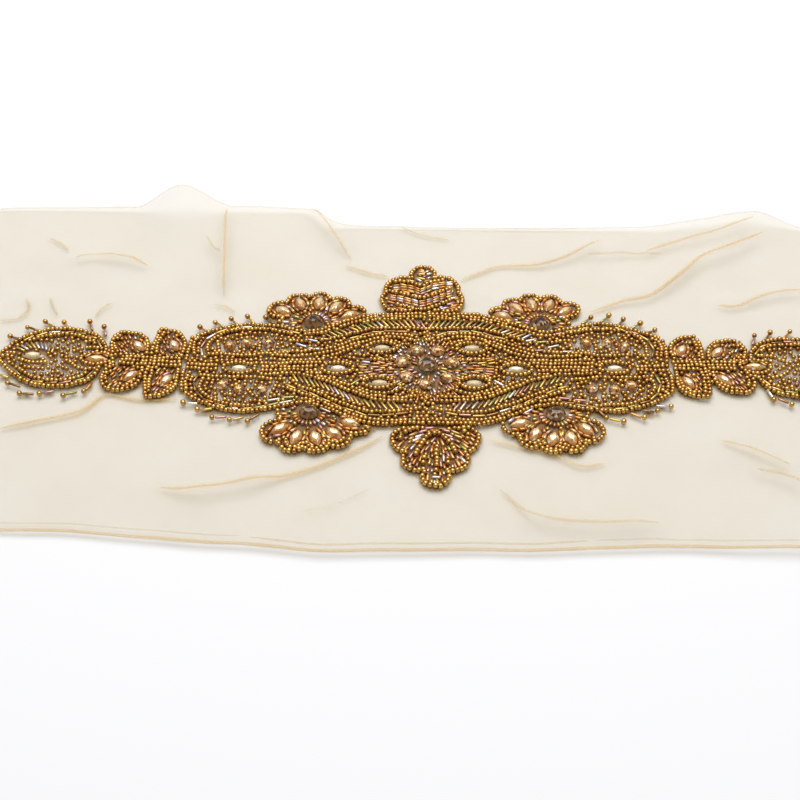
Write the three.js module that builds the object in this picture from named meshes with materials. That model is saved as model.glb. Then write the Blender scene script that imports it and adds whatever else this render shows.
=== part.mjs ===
// A beaded belt laid flat: a strip of fine net with beadwork motifs and stones sewn on it.
// Millimetres. X runs along the belt, Y across it (far side positive), Z up from the table.
import * as THREE from 'three';

// Net ground
const NET_HALF_LENGTH = 258;
const NET_WALL = 1;
const NET_END_WAVE = 3;
const NET_CELLS_LONG = 46;
const NET_CELLS_WIDE = 20;
const EDGE_LIFT_FADE = 34;

// How finely the round outlines are cut: points round a whole motif or along half of one
const PANEL_CUTS = 30;
const EYE_CUTS = 16;
const SHELL_CUTS = 44;
const FLOWER_CUTS = 52;
const BROOCH_CUTS = 42;
const OPENING_CUTS = 24;
const STEM_CUTS = 4;
const LEAF_SIDE_CUTS = 6;
const END_LEAF_CUTS = 10;
const NAVETTE_SIDE_CUTS = 6;
const ROUND_STONE_CUTS = 12;

// Heights of the layers above the table
const LAYER_GAP = 0.3;
const BEADWORK_Z = NET_WALL + LAYER_GAP;
const BEADWORK_DEPTH = 2;
const STONE_Z = BEADWORK_Z + BEADWORK_DEPTH + LAYER_GAP;
const NAVETTE_HEIGHT = 2.4;
const FLOWER_STONE_HEIGHT = 1.6;
const BROOCH_STONE_HEIGHT = 2.6;

// Beadwork that stays on flat net: reach from the axis at the middle and at the ends
const FLAT_REACH_END = 36;
const FLAT_REACH_SHELLS = 42;
const FLAT_REACH_HALF_LENGTH = 75;
const FLAT_REACH_BLEND = 18;

const SEAM = 0.3;
const FRINGE_REACH = 6.5;

// Cut edges of the net: distance from the belt's axis and height above the table
const FAR_EDGE = [
  { x: -258, y: 115, lift: 0 },
  { x: -200, y: 118, lift: 1 },
  { x: -154, y: 118, lift: 2 },
  { x: -127, y: 120, lift: 15 },
  { x: -102, y: 119, lift: 3 },
  { x: -66, y: 119, lift: 2 },
  { x: -49, y: 106, lift: 1 },
  { x: 30, y: 106, lift: 0.5 },
  { x: 110, y: 107, lift: 1 },
  { x: 168, y: 116, lift: 6 },
  { x: 194, y: 109, lift: 1 },
  { x: 258, y: 110, lift: 0 },
];
const NEAR_EDGE = [
  { x: -258, y: -99, lift: 0 },
  { x: -150, y: -98, lift: 1.5 },
  { x: -80, y: -103, lift: 2 },
  { x: -38, y: -106, lift: 2.5 },
  { x: 30, y: -104, lift: 2 },
  { x: 100, y: -101, lift: 2 },
  { x: 147, y: -101, lift: 3.5 },
  { x: 258, y: -101, lift: 0 },
];

// Largest folds: centre, direction in degrees, half length, half width and height
const FOLDS = [
  { x: -101, y: 80, turn: 92, halfLength: 38, halfWidth: 7, height: 5 },
  { x: -50, y: 98, turn: 120, halfLength: 26, halfWidth: 8, height: 4 },
  { x: 125, y: 70, turn: 33, halfLength: 54, halfWidth: 8, height: 4 },
  { x: 88, y: 90, turn: 16, halfLength: 66, halfWidth: 8, height: 3.5 },
  { x: 165, y: 53, turn: 12, halfLength: 36, halfWidth: 8, height: 3 },
  { x: -66, y: -68, turn: 22, halfLength: 50, halfWidth: 8, height: 3.5 },
  { x: 62, y: -89, turn: -4, halfLength: 38, halfWidth: 7, height: 3 },
  { x: 142, y: -58, turn: -38, halfLength: 26, halfWidth: 8, height: 3.5 },
  { x: -160, y: 72, turn: 4, halfLength: 24, halfWidth: 8, height: 3 },
  { x: -222, y: 66, turn: 72, halfLength: 34, halfWidth: 9, height: 3.5 },
  { x: 224, y: -62, turn: 104, halfLength: 26, halfWidth: 9, height: 3 },
  { x: 228, y: 74, turn: 64, halfLength: 28, halfWidth: 9, height: 3 },
];

// Lie of the belt on the table: how far its axis strays toward the far side
const LIE = [
  { x: -258, y: 4.6 },
  { x: -185, y: 3.6 },
  { x: -170, y: 2.8 },
  { x: -150, y: 1.9 },
  { x: -134, y: 1.1 },
  { x: -117, y: 0.3 },
  { x: -100, y: -1 },
  { x: -80, y: -1.7 },
  { x: -62, y: -1 },
  { x: -50, y: -0.4 },
  { x: -20, y: -0.3 },
  { x: 0, y: 0.2 },
  { x: 50, y: 0.8 },
  { x: 80, y: 1.9 },
  { x: 117, y: 3 },
  { x: 134, y: 3.6 },
  { x: 150, y: 3.3 },
  { x: 258, y: 3 },
];

// Outline of a quarter of the centre panel, from the shells' foot to a stem
const PANEL_EDGE = [
  { x: 0, y: 36.6 },
  { x: 14, y: 36.8 },
  { x: 26, y: 36.2 },
  { x: 38, y: 31.2 },
  { x: 46, y: 27.2 },
  { x: 53, y: 24.7 },
  { x: 59, y: 25 },
  { x: 72, y: 28.4 },
  { x: 80, y: 29.3 },
  { x: 88, y: 28.6 },
  { x: 101, y: 23.3 },
  { x: 108, y: 18.7 },
  { x: 110, y: 16 },
  { x: 110, y: 0 },
];

// Half outline of an eye motif, from the stem to the outer point
const EYE_EDGE = [
  { x: 140.5, y: 0 },
  { x: 145.5, y: 4 },
  { x: 147.9, y: 10.8 },
  { x: 153.5, y: 16.8 },
  { x: 165.5, y: 19.9 },
  { x: 178.5, y: 18 },
  { x: 189.5, y: 10.4 },
  { x: 196.5, y: 0 },
];

// Lobes of the shells: place from the shell's own axis and from the belt's axis
const SHELL_CENTRE_Y = 50;
const SHELL_FOOT_Y = 37.3;
const SHELL_FOOT_LOBE = { x: 0, y: 43, radius: 8 };
const SHELLS = [
  {
    row: 'far', x: -2.5,
    lobes: [
      { x: 10.4, y: 46, radius: 10 }, { x: 8.9, y: 54.6, radius: 9.7 }, { x: 0, y: 65.3, radius: 6.9 },
    ],
  },
  {
    row: 'near', x: 4,
    lobes: [
      { x: 10.4, y: 45, radius: 8.8 }, { x: 7.4, y: 56.4, radius: 7.4 }, { x: 0, y: 65.6, radius: 6.4 },
    ],
  },
];

// Flowers: five petals fanned over a stone at the foot, each flower sewn a little differently
const FLOWER_Y = 29.7;
const FLOWER_HEART = 6;
const FLOWER_FOOT = { x: 8.5, y: -1, radius: 6.5 };
const PETAL_RADIUS = 6.2;
const PETALS = [
  { angle: 34, reach: 23 },
  { angle: 67, reach: 22 },
  { angle: 100, reach: 21.4 },
  { angle: 132, reach: 22.4 },
  { angle: 162, reach: 25 },
];
const FLOWERS = [
  { row: 'far', side: 'left', sx: -1, sy: 1, stoneX: 53.6, fanX: 54.5, wide: 1.09, deep: 1.01 },
  { row: 'far', side: 'right', sx: 1, sy: 1, stoneX: 53, fanX: 52.2, wide: 1.01, deep: 1 },
  { row: 'near', side: 'left', sx: -1, sy: -1, stoneX: 50.9, fanX: 49.6, wide: 1.09, deep: 1.15 },
  { row: 'near', side: 'right', sx: 1, sy: -1, stoneX: 56, fanX: 56, wide: 1.02, deep: 1.12 },
];

// Leaf cells: foot, tip and the bulge of each side, above the stem
const STEM_START = 110.3;
const STEM_END = 140.2;
const STEM_HALF_WIDTH = 3;
const LEAF_FOOT_Y = STEM_HALF_WIDTH + 0.4;
const LEAVES = [
  {
    place: 'inner', inner: 111.2, outer: 126.3, tip: { x: 124.5, y: 23.2 },
    innerBulge: { x: 107, y: 24.6 }, outerBulge: { x: 127.2, y: 14 }, stone: { x: 116.3, y: 11.6, turn: 66 },
  },
  {
    place: 'outer', inner: 127.2, outer: 143.8, tip: { x: 142.3, y: 19.8 },
    innerBulge: { x: 125.5, y: 23 }, outerBulge: { x: 150, y: 12 }, stone: { x: 132.6, y: 10, turn: 58 },
  },
];

const END_LEAF_START = 196.9;
const END_LEAF_LENGTH = 25;
const END_LEAF_HALF_WIDTH = 7;
const END_LEAF_FULLNESS = 0.8;

// Spike fringe: the stretch of each outline that it follows
const LOBE_FRINGE = { from: 79, to: 108 };
const EYE_FRINGE = { from: 151.5, to: 191.5 };

// Stones
const BROOCH_RING_RADIUS = 11.6;
const BROOCH_RING_STONE_RADIUS = 3.5;
const BROOCH_RING_COUNT = 7;
const BROOCH_STONE_RADIUS = 4.9;
const FLOWER_STONE_RADIUS = 4.6;
const BROOCH_OPENING_RADIUS = 15.7;
const GIRDLE_SHARE = 0.35;
const TABLE_SHARE = 0.58;
const NAVETTE_TIP_MARGIN = 1.6;
const CLEAR_NAVETTE = { length: 11, width: 4.6 };
const LEAF_NAVETTE = { length: 9, width: 4.8 };
const EYE_NAVETTE = { length: 10.5, width: 4.8 };
const AXIS_NAVETTES = [{ place: 'inner', x: 40, y: -2 }, { place: 'outer', x: 84.5, y: -1.6 }];
const EYE_NAVETTES = [
  { kind: 'peach', left: 150.2, right: 147.8 },
  { kind: 'milky', left: 179.5, right: 179.5 },
];

// The four quarters: how deep the leaves are on each side, and the bulge of the leaves and the
// clear stones of each row
const SIDES = [{ side: 'left', sx: -1, leafDepth: 1 }, { side: 'right', sx: 1, leafDepth: 0.87 }];
const ROWS = [
  { row: 'far', sy: 1, leafBulge: 0.9, clear: { x: 20.5, y: 12 } },
  { row: 'near', sy: -1, leafBulge: 1, clear: { x: 21, y: 11 } },
];

// Finishes: one function for each material, so that every mesh has its own
function finish(color, roughness, metalness) {
  return new THREE.MeshStandardMaterial({ color, roughness, metalness });
}
const beadFinish = () => finish('#8a5a22', 0.35, 0.85);
const bugleFinish = () => finish('#c9a86a', 0.2, 0.6);
const clearFinish = () => finish('#d9d3bd', 0.08, 0);
const peachFinish = () => finish('#e0a365', 0.08, 0);
const smokyFinish = () => finish('#6d5a48', 0.08, 0);

const belt = new THREE.Group();

function add(name, geometry, material) {
  const mesh = new THREE.Mesh(geometry, material);
  mesh.name = name;
  belt.add(mesh);
}

// ---- Curves and outlines -------------------------------------------------

const smooth = (t) => t * t * (3 - 2 * t);
const clamp01 = (t) => Math.min(1, Math.max(0, t));

// A column of a table at x, eased between its rows
function along(table, x, column) {
  const next = table.findIndex((row) => row.x >= x);
  if (next <= 0) return table[Math.max(next, 0)][column];
  const a = table[next - 1];
  const b = table[next];
  return THREE.MathUtils.lerp(a[column], b[column], smooth((x - a.x) / (b.x - a.x)));
}

// Evenly spaced points on a smooth curve through the rows of a table
function curveThrough(table, divisions) {
  const curve = new THREE.SplineCurve(table.map((row) => new THREE.Vector2(row.x, row.y)));
  return curve.getSpacedPoints(divisions);
}

const PANEL_CURVE = curveThrough(PANEL_EDGE, PANEL_CUTS);
const EYE_CURVE = curveThrough(EYE_EDGE, EYE_CUTS);

// Reach of a curve's points from the axis at x
function reachAt(curve, x) {
  const next = Math.max(1, curve.findIndex((point) => point.x >= x));
  const a = curve[next - 1];
  const b = curve[next];
  return THREE.MathUtils.mapLinear(x, a.x, b.x, a.y, b.y);
}

// The same outline on another side of the belt
const mirrored = (points, sx, sy) => points.map((point) => new THREE.Vector2(point.x * sx, point.y * sy));

// Outline of overlapping round lobes seen from a centre: the farthest lobe in each direction
function lobedOutline(centre, lobes, divisions) {
  const points = [];
  for (let i = 0; i < divisions; i += 1) {
    const angle = (i / divisions) * 2 * Math.PI;
    const ray = new THREE.Vector2(Math.cos(angle), Math.sin(angle));
    const reaches = lobes.map((lobe) => {
      const offset = new THREE.Vector2(lobe.x - centre.x, lobe.y - centre.y);
      const forward = offset.dot(ray);
      const inside = lobe.radius ** 2 - offset.cross(ray) ** 2;
      return inside > 0 ? forward + Math.sqrt(inside) : 0;
    });
    points.push(ray.multiplyScalar(Math.max(...reaches)).add(centre));
  }
  return points;
}

// Points moved across the belt with its lie on the table
const laid = (points) => points.map(({ x, y }) => new THREE.Vector2(x, y + along(LIE, x, 'y')));

// Straight-walled plate of an outline, with openings for the stones that are set in it
function plate(points, base, depth, openings = []) {
  const counterclockwise = THREE.ShapeUtils.isClockWise(points) ? [...points].reverse() : points;
  const shape = new THREE.Shape(laid(counterclockwise));
  shape.holes = openings.map((opening) => new THREE.Path(laid(opening)));
  return new THREE.ExtrudeGeometry(shape, { depth, bevelEnabled: false }).translate(0, 0, base);
}

const beadwork = (points, openings) => plate(points, BEADWORK_Z, BEADWORK_DEPTH, openings);

// Outline of a pointed oval stone, two equal arcs that meet at its ends, with a margin round it
function navetteOutline({ length, width }, x, y, turn, margin = 0) {
  const half = length / 2 + NAVETTE_TIP_MARGIN * margin;
  const halfWidth = width / 2 + margin;
  const radius = (half ** 2 + halfWidth ** 2) / (2 * halfWidth);
  const spread = Math.asin(half / radius);
  const points = [];
  for (const side of [1, -1]) {
    for (let i = 0; i < NAVETTE_SIDE_CUTS; i += 1) {
      const angle = spread * (1 - (2 * i) / NAVETTE_SIDE_CUTS);
      const across = radius * Math.cos(angle) - (radius - halfWidth);
      points.push(new THREE.Vector2(-side * radius * Math.sin(angle), side * across));
    }
  }
  const centre = new THREE.Vector2(x, y);
  const radians = THREE.MathUtils.degToRad(turn);
  return points.map((point) => point.rotateAround(new THREE.Vector2(), radians).add(centre));
}

// A navette stone that stands on the net
const navette = (size, x, y, turn) => plate(navetteOutline(size, x, y, turn), BEADWORK_Z, NAVETTE_HEIGHT);

// Round cut stone: a girdle, a sloping crown and a flat table
function roundStone(radius, height, x, y, z) {
  const girdle = height * GIRDLE_SHARE;
  const table = radius * TABLE_SHARE;
  const profile = [[0, 0], [radius, 0], [radius, girdle], [table, height], [0, height]];
  const points = profile.map(([r, h]) => new THREE.Vector2(r, h));
  const stone = new THREE.LatheGeometry(points, ROUND_STONE_CUTS).rotateX(Math.PI / 2);
  return stone.translate(x, y + along(LIE, x, 'y'), z);
}

// ---- Net ground -----------------------------------------------------------

// Distance from the axis within which the net lies flat under the beadwork
function flatReach(x) {
  return FLAT_REACH_END + FLAT_REACH_SHELLS * Math.exp(-((x / FLAT_REACH_HALF_LENGTH) ** 4));
}

// Height of one fold at a point: a soft ridge that fades to its ends
function foldHeight(fold, x, y) {
  const turn = THREE.MathUtils.degToRad(fold.turn);
  const lengthwise = (x - fold.x) * Math.cos(turn) + (y - fold.y) * Math.sin(turn);
  const crosswise = (y - fold.y) * Math.cos(turn) - (x - fold.x) * Math.sin(turn);
  const taper = smooth(clamp01((fold.halfLength - Math.abs(lengthwise)) / (fold.halfLength / 2)));
  return fold.height * taper * Math.exp(-((crosswise / fold.halfWidth) ** 2));
}

// Height of the net's underside over the table
function netHeight(x, y) {
  const clear = smooth(clamp01((Math.abs(y) - flatReach(x)) / FLAT_REACH_BLEND));
  const edge = y > 0 ? FAR_EDGE : NEAR_EDGE;
  const inFromEdge = Math.abs(along(edge, x, 'y') - y);
  const edgeLift = along(edge, x, 'lift') * Math.exp(-((inFromEdge / EDGE_LIFT_FADE) ** 2));
  const folds = FOLDS.reduce((sum, fold) => sum + foldHeight(fold, x, y), 0);
  return clear * (edgeLift + folds);
}

// Point of the net's underside: u runs along the belt and v across it, each from 0 to 1
function netPoint(u, v) {
  const endX = NET_HALF_LENGTH - NET_END_WAVE * Math.sin(3 * Math.PI * v) ** 2;
  const x = THREE.MathUtils.lerp(-endX, endX, u);
  const y = THREE.MathUtils.lerp(along(NEAR_EDGE, x, 'y'), along(FAR_EDGE, x, 'y'), v);
  return [x, y, netHeight(x, y)];
}

// Closed wall over a grid of points: an underside, a top side and a strip round the rim
function netWall() {
  const across = NET_CELLS_WIDE + 1;
  const under = [];
  for (let i = 0; i <= NET_CELLS_LONG; i += 1) {
    const u = i / NET_CELLS_LONG;
    for (let j = 0; j <= NET_CELLS_WIDE; j += 1) under.push(netPoint(u, j / NET_CELLS_WIDE));
  }
  const top = under.map(([x, y, z]) => [x, y, z + NET_WALL]);
  const lift = under.length;
  const index = [];
  for (let i = 0; i < NET_CELLS_LONG; i += 1) {
    for (let j = 0; j < NET_CELLS_WIDE; j += 1) {
      const a = i * across + j;
      const b = a + across;
      index.push(a, a + 1, b, a + 1, b + 1, b);
      index.push(a + lift, b + lift, a + 1 + lift, a + 1 + lift, b + lift, b + 1 + lift);
    }
  }
  const rim = [];
  for (let i = 0; i < NET_CELLS_LONG; i += 1) rim.push(i * across);
  for (let j = 0; j < NET_CELLS_WIDE; j += 1) rim.push(NET_CELLS_LONG * across + j);
  for (let i = NET_CELLS_LONG; i > 0; i -= 1) rim.push(i * across + NET_CELLS_WIDE);
  for (let j = NET_CELLS_WIDE; j > 0; j -= 1) rim.push(j);
  rim.forEach((a, k) => {
    const b = rim[(k + 1) % rim.length];
    index.push(a, b, b + lift, a, b + lift, a + lift);
  });
  const geometry = new THREE.BufferGeometry();
  geometry.setAttribute('position', new THREE.Float32BufferAttribute([...under, ...top].flat(), 3));
  geometry.setIndex(index);
  geometry.computeVertexNormals();
  return geometry;
}

add('net_ground', netWall(), finish('#ece2cc', 0.8, 0));

// ---- Beadwork motifs -------------------------------------------------------

// Whole outline from a half outline over the axis
const closedOverAxis = (half) => [...half, ...mirrored(half, 1, -1).reverse().slice(1, -1)];

// The clear stone between the axis and the edge of the panel, in one row
const clearInRow = ({ sy, clear }) => ({ x: clear.x, y: clear.y * sy });

const panelFar = [...mirrored(PANEL_CURVE, -1, 1).reverse(), ...PANEL_CURVE.slice(1)];
const panelNear = mirrored(panelFar, 1, -1).reverse().slice(1, -1);
const broochCircle = new THREE.Path().absarc(0, 0, BROOCH_OPENING_RADIUS, 0, 2 * Math.PI);
const panelOpenings = [broochCircle.getPoints(OPENING_CUTS).slice(1)];
for (const { sx } of SIDES) {
  for (const { x, y } of [...AXIS_NAVETTES, ...ROWS.map(clearInRow)]) {
    panelOpenings.push(navetteOutline(CLEAR_NAVETTE, x * sx, y, 0, SEAM));
  }
}
add('centre_panel', beadwork([...panelFar, ...panelNear], panelOpenings), beadFinish());

for (const { row, x, lobes } of SHELLS) {
  const bothSides = [SHELL_FOOT_LOBE, ...lobes.flatMap((lobe) => [lobe, { ...lobe, x: -lobe.x }])];
  const outline = lobedOutline(new THREE.Vector2(0, SHELL_CENTRE_Y), bothSides, SHELL_CUTS);
  outline.forEach((point) => point.set(point.x + x, Math.max(point.y, SHELL_FOOT_Y)));
  add(`shell_${row}`, beadwork(mirrored(outline, 1, row === 'far' ? 1 : -1)), beadFinish());
}

// One flower: lobes of its petals and its heart, drawn wide and deep, and trimmed along the panel
function flowerOutline({ stoneX, fanX, wide, deep }) {
  const petals = PETALS.map(({ angle, reach }) => {
    const turn = THREE.MathUtils.degToRad(angle);
    const out = reach - PETAL_RADIUS;
    return { x: out * Math.cos(turn), y: out * Math.sin(turn), radius: PETAL_RADIUS };
  });
  const heart = { x: (stoneX - fanX) / wide, y: 0, radius: FLOWER_HEART };
  const feet = [FLOWER_FOOT, { ...FLOWER_FOOT, x: -FLOWER_FOOT.x }];
  const outline = lobedOutline(new THREE.Vector2(), [...petals, heart, ...feet], FLOWER_CUTS);
  for (const point of outline) {
    const x = fanX + point.x * wide;
    point.set(x, Math.max(FLOWER_Y + point.y * deep, reachAt(PANEL_CURVE, x) + SEAM));
  }
  return outline;
}

for (const flower of FLOWERS) {
  const { row, side, sx, sy } = flower;
  add(`flower_${row}_${side}`, beadwork(mirrored(flowerOutline(flower), sx, sy)), beadFinish());
}

// A height on a leaf that is drawn deeper or shallower than its table
const leafHeight = (y, depth) => LEAF_FOOT_Y + (y - LEAF_FOOT_Y) * depth;

// One leaf cell: a foot on the stem and two bulging sides that meet at the tip
function leafOutline({ inner, outer, tip, innerBulge, outerBulge }, depth, bulge) {
  const shape = new THREE.Shape();
  shape.moveTo(inner, LEAF_FOOT_Y);
  shape.quadraticCurveTo(innerBulge.x, innerBulge.y * bulge, tip.x, tip.y);
  shape.quadraticCurveTo(outerBulge.x, outerBulge.y, outer, LEAF_FOOT_Y);
  return shape.getPoints(LEAF_SIDE_CUTS).map(({ x, y }) => new THREE.Vector2(x, leafHeight(y, depth)));
}

// Band outside a stretch of an outline, as far as the spikes reach
function fringeOutline(curve, { from, to }) {
  const stretch = curve.filter((point) => point.x > from && point.x < to && point.y > 0);
  const outward = stretch.map((point, i) => {
    const before = stretch[Math.max(i - 1, 0)];
    const after = stretch[Math.min(i + 1, stretch.length - 1)];
    return new THREE.Vector2(before.y - after.y, after.x - before.x).normalize();
  });
  const movedOut = (by) => stretch.map((point, i) => point.clone().addScaledVector(outward[i], by));
  return [...movedOut(SEAM), ...movedOut(SEAM + FRINGE_REACH).reverse()];
}

// Half outline of an end leaf: a full sine arch between its two points
const endLeafHalf = [];
for (let i = 0; i <= END_LEAF_CUTS; i += 1) {
  const t = i / END_LEAF_CUTS;
  const rise = Math.sin(t * Math.PI) ** END_LEAF_FULLNESS;
  endLeafHalf.push(new THREE.Vector2(END_LEAF_START + END_LEAF_LENGTH * t, END_LEAF_HALF_WIDTH * rise));
}

// Half outline of a stem, cut often enough to follow the lie of the belt
const stemHalf = [new THREE.Vector2(STEM_START, 0)];
for (let i = 0; i <= STEM_CUTS; i += 1) {
  const x = THREE.MathUtils.lerp(STEM_START, STEM_END, i / STEM_CUTS);
  stemHalf.push(new THREE.Vector2(x, STEM_HALF_WIDTH));
}
stemHalf.push(new THREE.Vector2(STEM_END, 0));

for (const { side, sx, leafDepth } of SIDES) {
  add(`stem_${side}`, beadwork(mirrored(closedOverAxis(stemHalf), sx, 1)), beadFinish());
  const eyeOpenings = EYE_NAVETTES.map((stone) => navetteOutline(EYE_NAVETTE, stone[side] * sx, 0, 0, SEAM));
  add(`eye_motif_${side}`, beadwork(mirrored(closedOverAxis(EYE_CURVE), sx, 1), eyeOpenings), beadFinish());

  add(`end_leaf_${side}`, beadwork(mirrored(closedOverAxis(endLeafHalf), sx, 1)), beadFinish());

  for (const { row, sy, leafBulge } of ROWS) {
    for (const leaf of LEAVES) {
      const { x, y, turn } = leaf.stone;
      const stoneY = leafHeight(y, leafDepth) * sy;
      const opening = navetteOutline(LEAF_NAVETTE, x * sx, stoneY, turn * sx * sy, SEAM);
      const outline = mirrored(leafOutline(leaf, leafDepth, leafBulge), sx, sy);
      add(`leaf_${leaf.place}_${row}_${side}`, beadwork(outline, [opening]), beadFinish());
    }
    const lobeFringe = fringeOutline(PANEL_CURVE, LOBE_FRINGE);
    add(`fringe_lobe_${row}_${side}`, beadwork(mirrored(lobeFringe, sx, sy)), bugleFinish());
    const eyeFringe = fringeOutline(EYE_CURVE, EYE_FRINGE);
    add(`fringe_eye_${row}_${side}`, beadwork(mirrored(eyeFringe, sx, sy)), bugleFinish());
  }
}

// ---- Stones ----------------------------------------------------------------

const broochLobes = [{ x: 0, y: 0, radius: BROOCH_RING_RADIUS }];
for (let i = 0; i < BROOCH_RING_COUNT; i += 1) {
  const angle = (i / BROOCH_RING_COUNT) * 2 * Math.PI - Math.PI / 2;
  const x = BROOCH_RING_RADIUS * Math.cos(angle);
  const y = BROOCH_RING_RADIUS * Math.sin(angle);
  broochLobes.push({ x, y, radius: BROOCH_RING_STONE_RADIUS });
}
const broochOutline = lobedOutline(new THREE.Vector2(), broochLobes, BROOCH_CUTS);
add('brooch_setting', beadwork(broochOutline), peachFinish());
add('brooch_stone', roundStone(BROOCH_STONE_RADIUS, BROOCH_STONE_HEIGHT, 0, 0, STONE_Z), smokyFinish());

for (const { row, side, sx, sy, stoneX } of FLOWERS) {
  const stone = roundStone(FLOWER_STONE_RADIUS, FLOWER_STONE_HEIGHT, stoneX * sx, FLOWER_Y * sy, STONE_Z);
  add(`flower_stone_${row}_${side}`, stone, smokyFinish());
}

for (const { side, sx, leafDepth } of SIDES) {
  for (const { place, x, y } of AXIS_NAVETTES) {
    add(`clear_navette_${place}_${side}`, navette(CLEAR_NAVETTE, x * sx, y, 0), clearFinish());
  }
  for (const stone of EYE_NAVETTES) {
    const stoneFinish = stone.kind === 'peach' ? peachFinish() : clearFinish();
    add(`eye_navette_${stone.kind}_${side}`, navette(EYE_NAVETTE, stone[side] * sx, 0, 0), stoneFinish);
  }
  for (const { row, sy, clear } of ROWS) {
    const clearStone = navette(CLEAR_NAVETTE, clear.x * sx, clear.y * sy, 0);
    add(`clear_navette_${row}_${side}`, clearStone, clearFinish());
    for (const leaf of LEAVES) {
      const { x, y, turn } = leaf.stone;
      const leafStone = navette(LEAF_NAVETTE, x * sx, leafHeight(y, leafDepth) * sy, turn * sx * sy);
      add(`leaf_navette_${leaf.place}_${row}_${side}`, leafStone, peachFinish());
    }
  }
}

// The part's origin is under the middle of the whole net
const edgeReach = (table) => table.map((row) => row.y);
const farthest = Math.max(...edgeReach(FAR_EDGE));
const nearest = Math.min(...edgeReach(NEAR_EDGE));
belt.position.y = -(farthest + nearest) / 2;

const part = new THREE.Group();
part.add(belt);
export default part;
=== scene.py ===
"""Looks of a beaded belt laid flat: fine net with beads, glass tubes and stones sewn on it."""
import bpy
import numpy as np
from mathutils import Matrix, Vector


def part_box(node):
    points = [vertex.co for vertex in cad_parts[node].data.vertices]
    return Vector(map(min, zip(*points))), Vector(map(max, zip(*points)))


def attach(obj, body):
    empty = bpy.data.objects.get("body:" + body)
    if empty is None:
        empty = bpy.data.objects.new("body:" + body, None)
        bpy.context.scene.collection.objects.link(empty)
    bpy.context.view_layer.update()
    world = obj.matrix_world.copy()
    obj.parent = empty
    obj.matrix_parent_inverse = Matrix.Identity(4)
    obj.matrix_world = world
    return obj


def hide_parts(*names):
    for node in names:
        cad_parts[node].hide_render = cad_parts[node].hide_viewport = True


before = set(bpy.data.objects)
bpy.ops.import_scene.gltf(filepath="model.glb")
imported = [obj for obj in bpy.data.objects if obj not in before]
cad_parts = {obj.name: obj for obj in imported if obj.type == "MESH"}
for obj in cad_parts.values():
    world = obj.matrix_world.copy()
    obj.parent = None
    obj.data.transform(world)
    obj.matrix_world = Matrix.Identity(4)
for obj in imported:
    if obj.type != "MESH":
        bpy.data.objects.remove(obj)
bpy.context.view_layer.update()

# ---- Net ground ----------------------------------------------------------------------------
# The cloth of the belt is one strip of fine cream net, 516 x 226 mm, that everything is sewn to.
# It lies spread out, flat under the beadwork and pulled into soft creases round it. Its near edge
# is turned in a narrow hem and its far edge is raw.
MM = 0.001
NET_THICK = 0.35
NET_UNDER_BEADS = 1.0
NET_COLUMNS, NET_ROWS = 316, 138
END_WAVE, EDGE_LIFT_FADE = 3.0, 34.0
RIDGE_SPACING, RIBBON_SPACING = 1.5, 1.6  # from point to point along a crease
FLAT_REACH_END, FLAT_REACH_SHELLS, FLAT_REACH_HALF_LENGTH, FLAT_REACH_BLEND = 36, 42, 75, 18
WEAVE = 0.00095
LIE = np.array([  # x, and how far the belt's axis strays there toward the far side
    (-258, 4.6), (-185, 3.6), (-170, 2.8), (-150, 1.9), (-134, 1.1), (-117, 0.3), (-100, -1),
    (-80, -1.7), (-62, -1), (-50, -0.4), (-20, -0.3), (0, 0.2), (50, 0.8), (80, 1.9), (117, 3),
    (134, 3.6), (150, 3.3), (258, 3)])
LIE_AT_BROOCH = 0.2
AXIS_Y = (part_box("brooch_stone")[0].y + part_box("brooch_stone")[1].y) / 2 / MM - LIE_AT_BROOCH
NET_HALF_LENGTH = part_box("net_ground")[1].x / MM

FAR_EDGE = np.array([  # x, y, lift
    (-258, 115, 0), (-200, 118, 1), (-154, 118, 2), (-127, 120, 15), (-102, 119, 3), (-66, 119, 2),
    (-49, 106, 1), (30, 106, 0.5), (110, 107, 1), (168, 116, 6), (194, 109, 1), (258, 110, 0)])
NEAR_EDGE = np.array([  # x, y, lift
    (-258, -99, 0), (-150, -98, 1.5), (-80, -103, 2), (-38, -106, 2.5), (30, -104, 2),
    (100, -101, 2), (147, -101, 3.5), (258, -101, 0)])
FOLDS = np.array([  # x, y, direction in degrees, half length, half width, height
    (-101, 80, 92, 38, 7, 5), (-50, 98, 120, 26, 8, 4), (125, 70, 33, 54, 8, 4),
    (88, 90, 16, 66, 8, 3.5), (165, 53, 12, 36, 8, 3), (-66, -68, 22, 50, 8, 3.5),
    (62, -89, -4, 38, 7, 3), (142, -58, -38, 26, 8, 3.5), (-160, 72, 4, 24, 8, 3),
    (-222, 66, 72, 34, 9, 3.5), (224, -62, 104, 26, 9, 3), (228, 74, 64, 28, 9, 3)])
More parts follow.
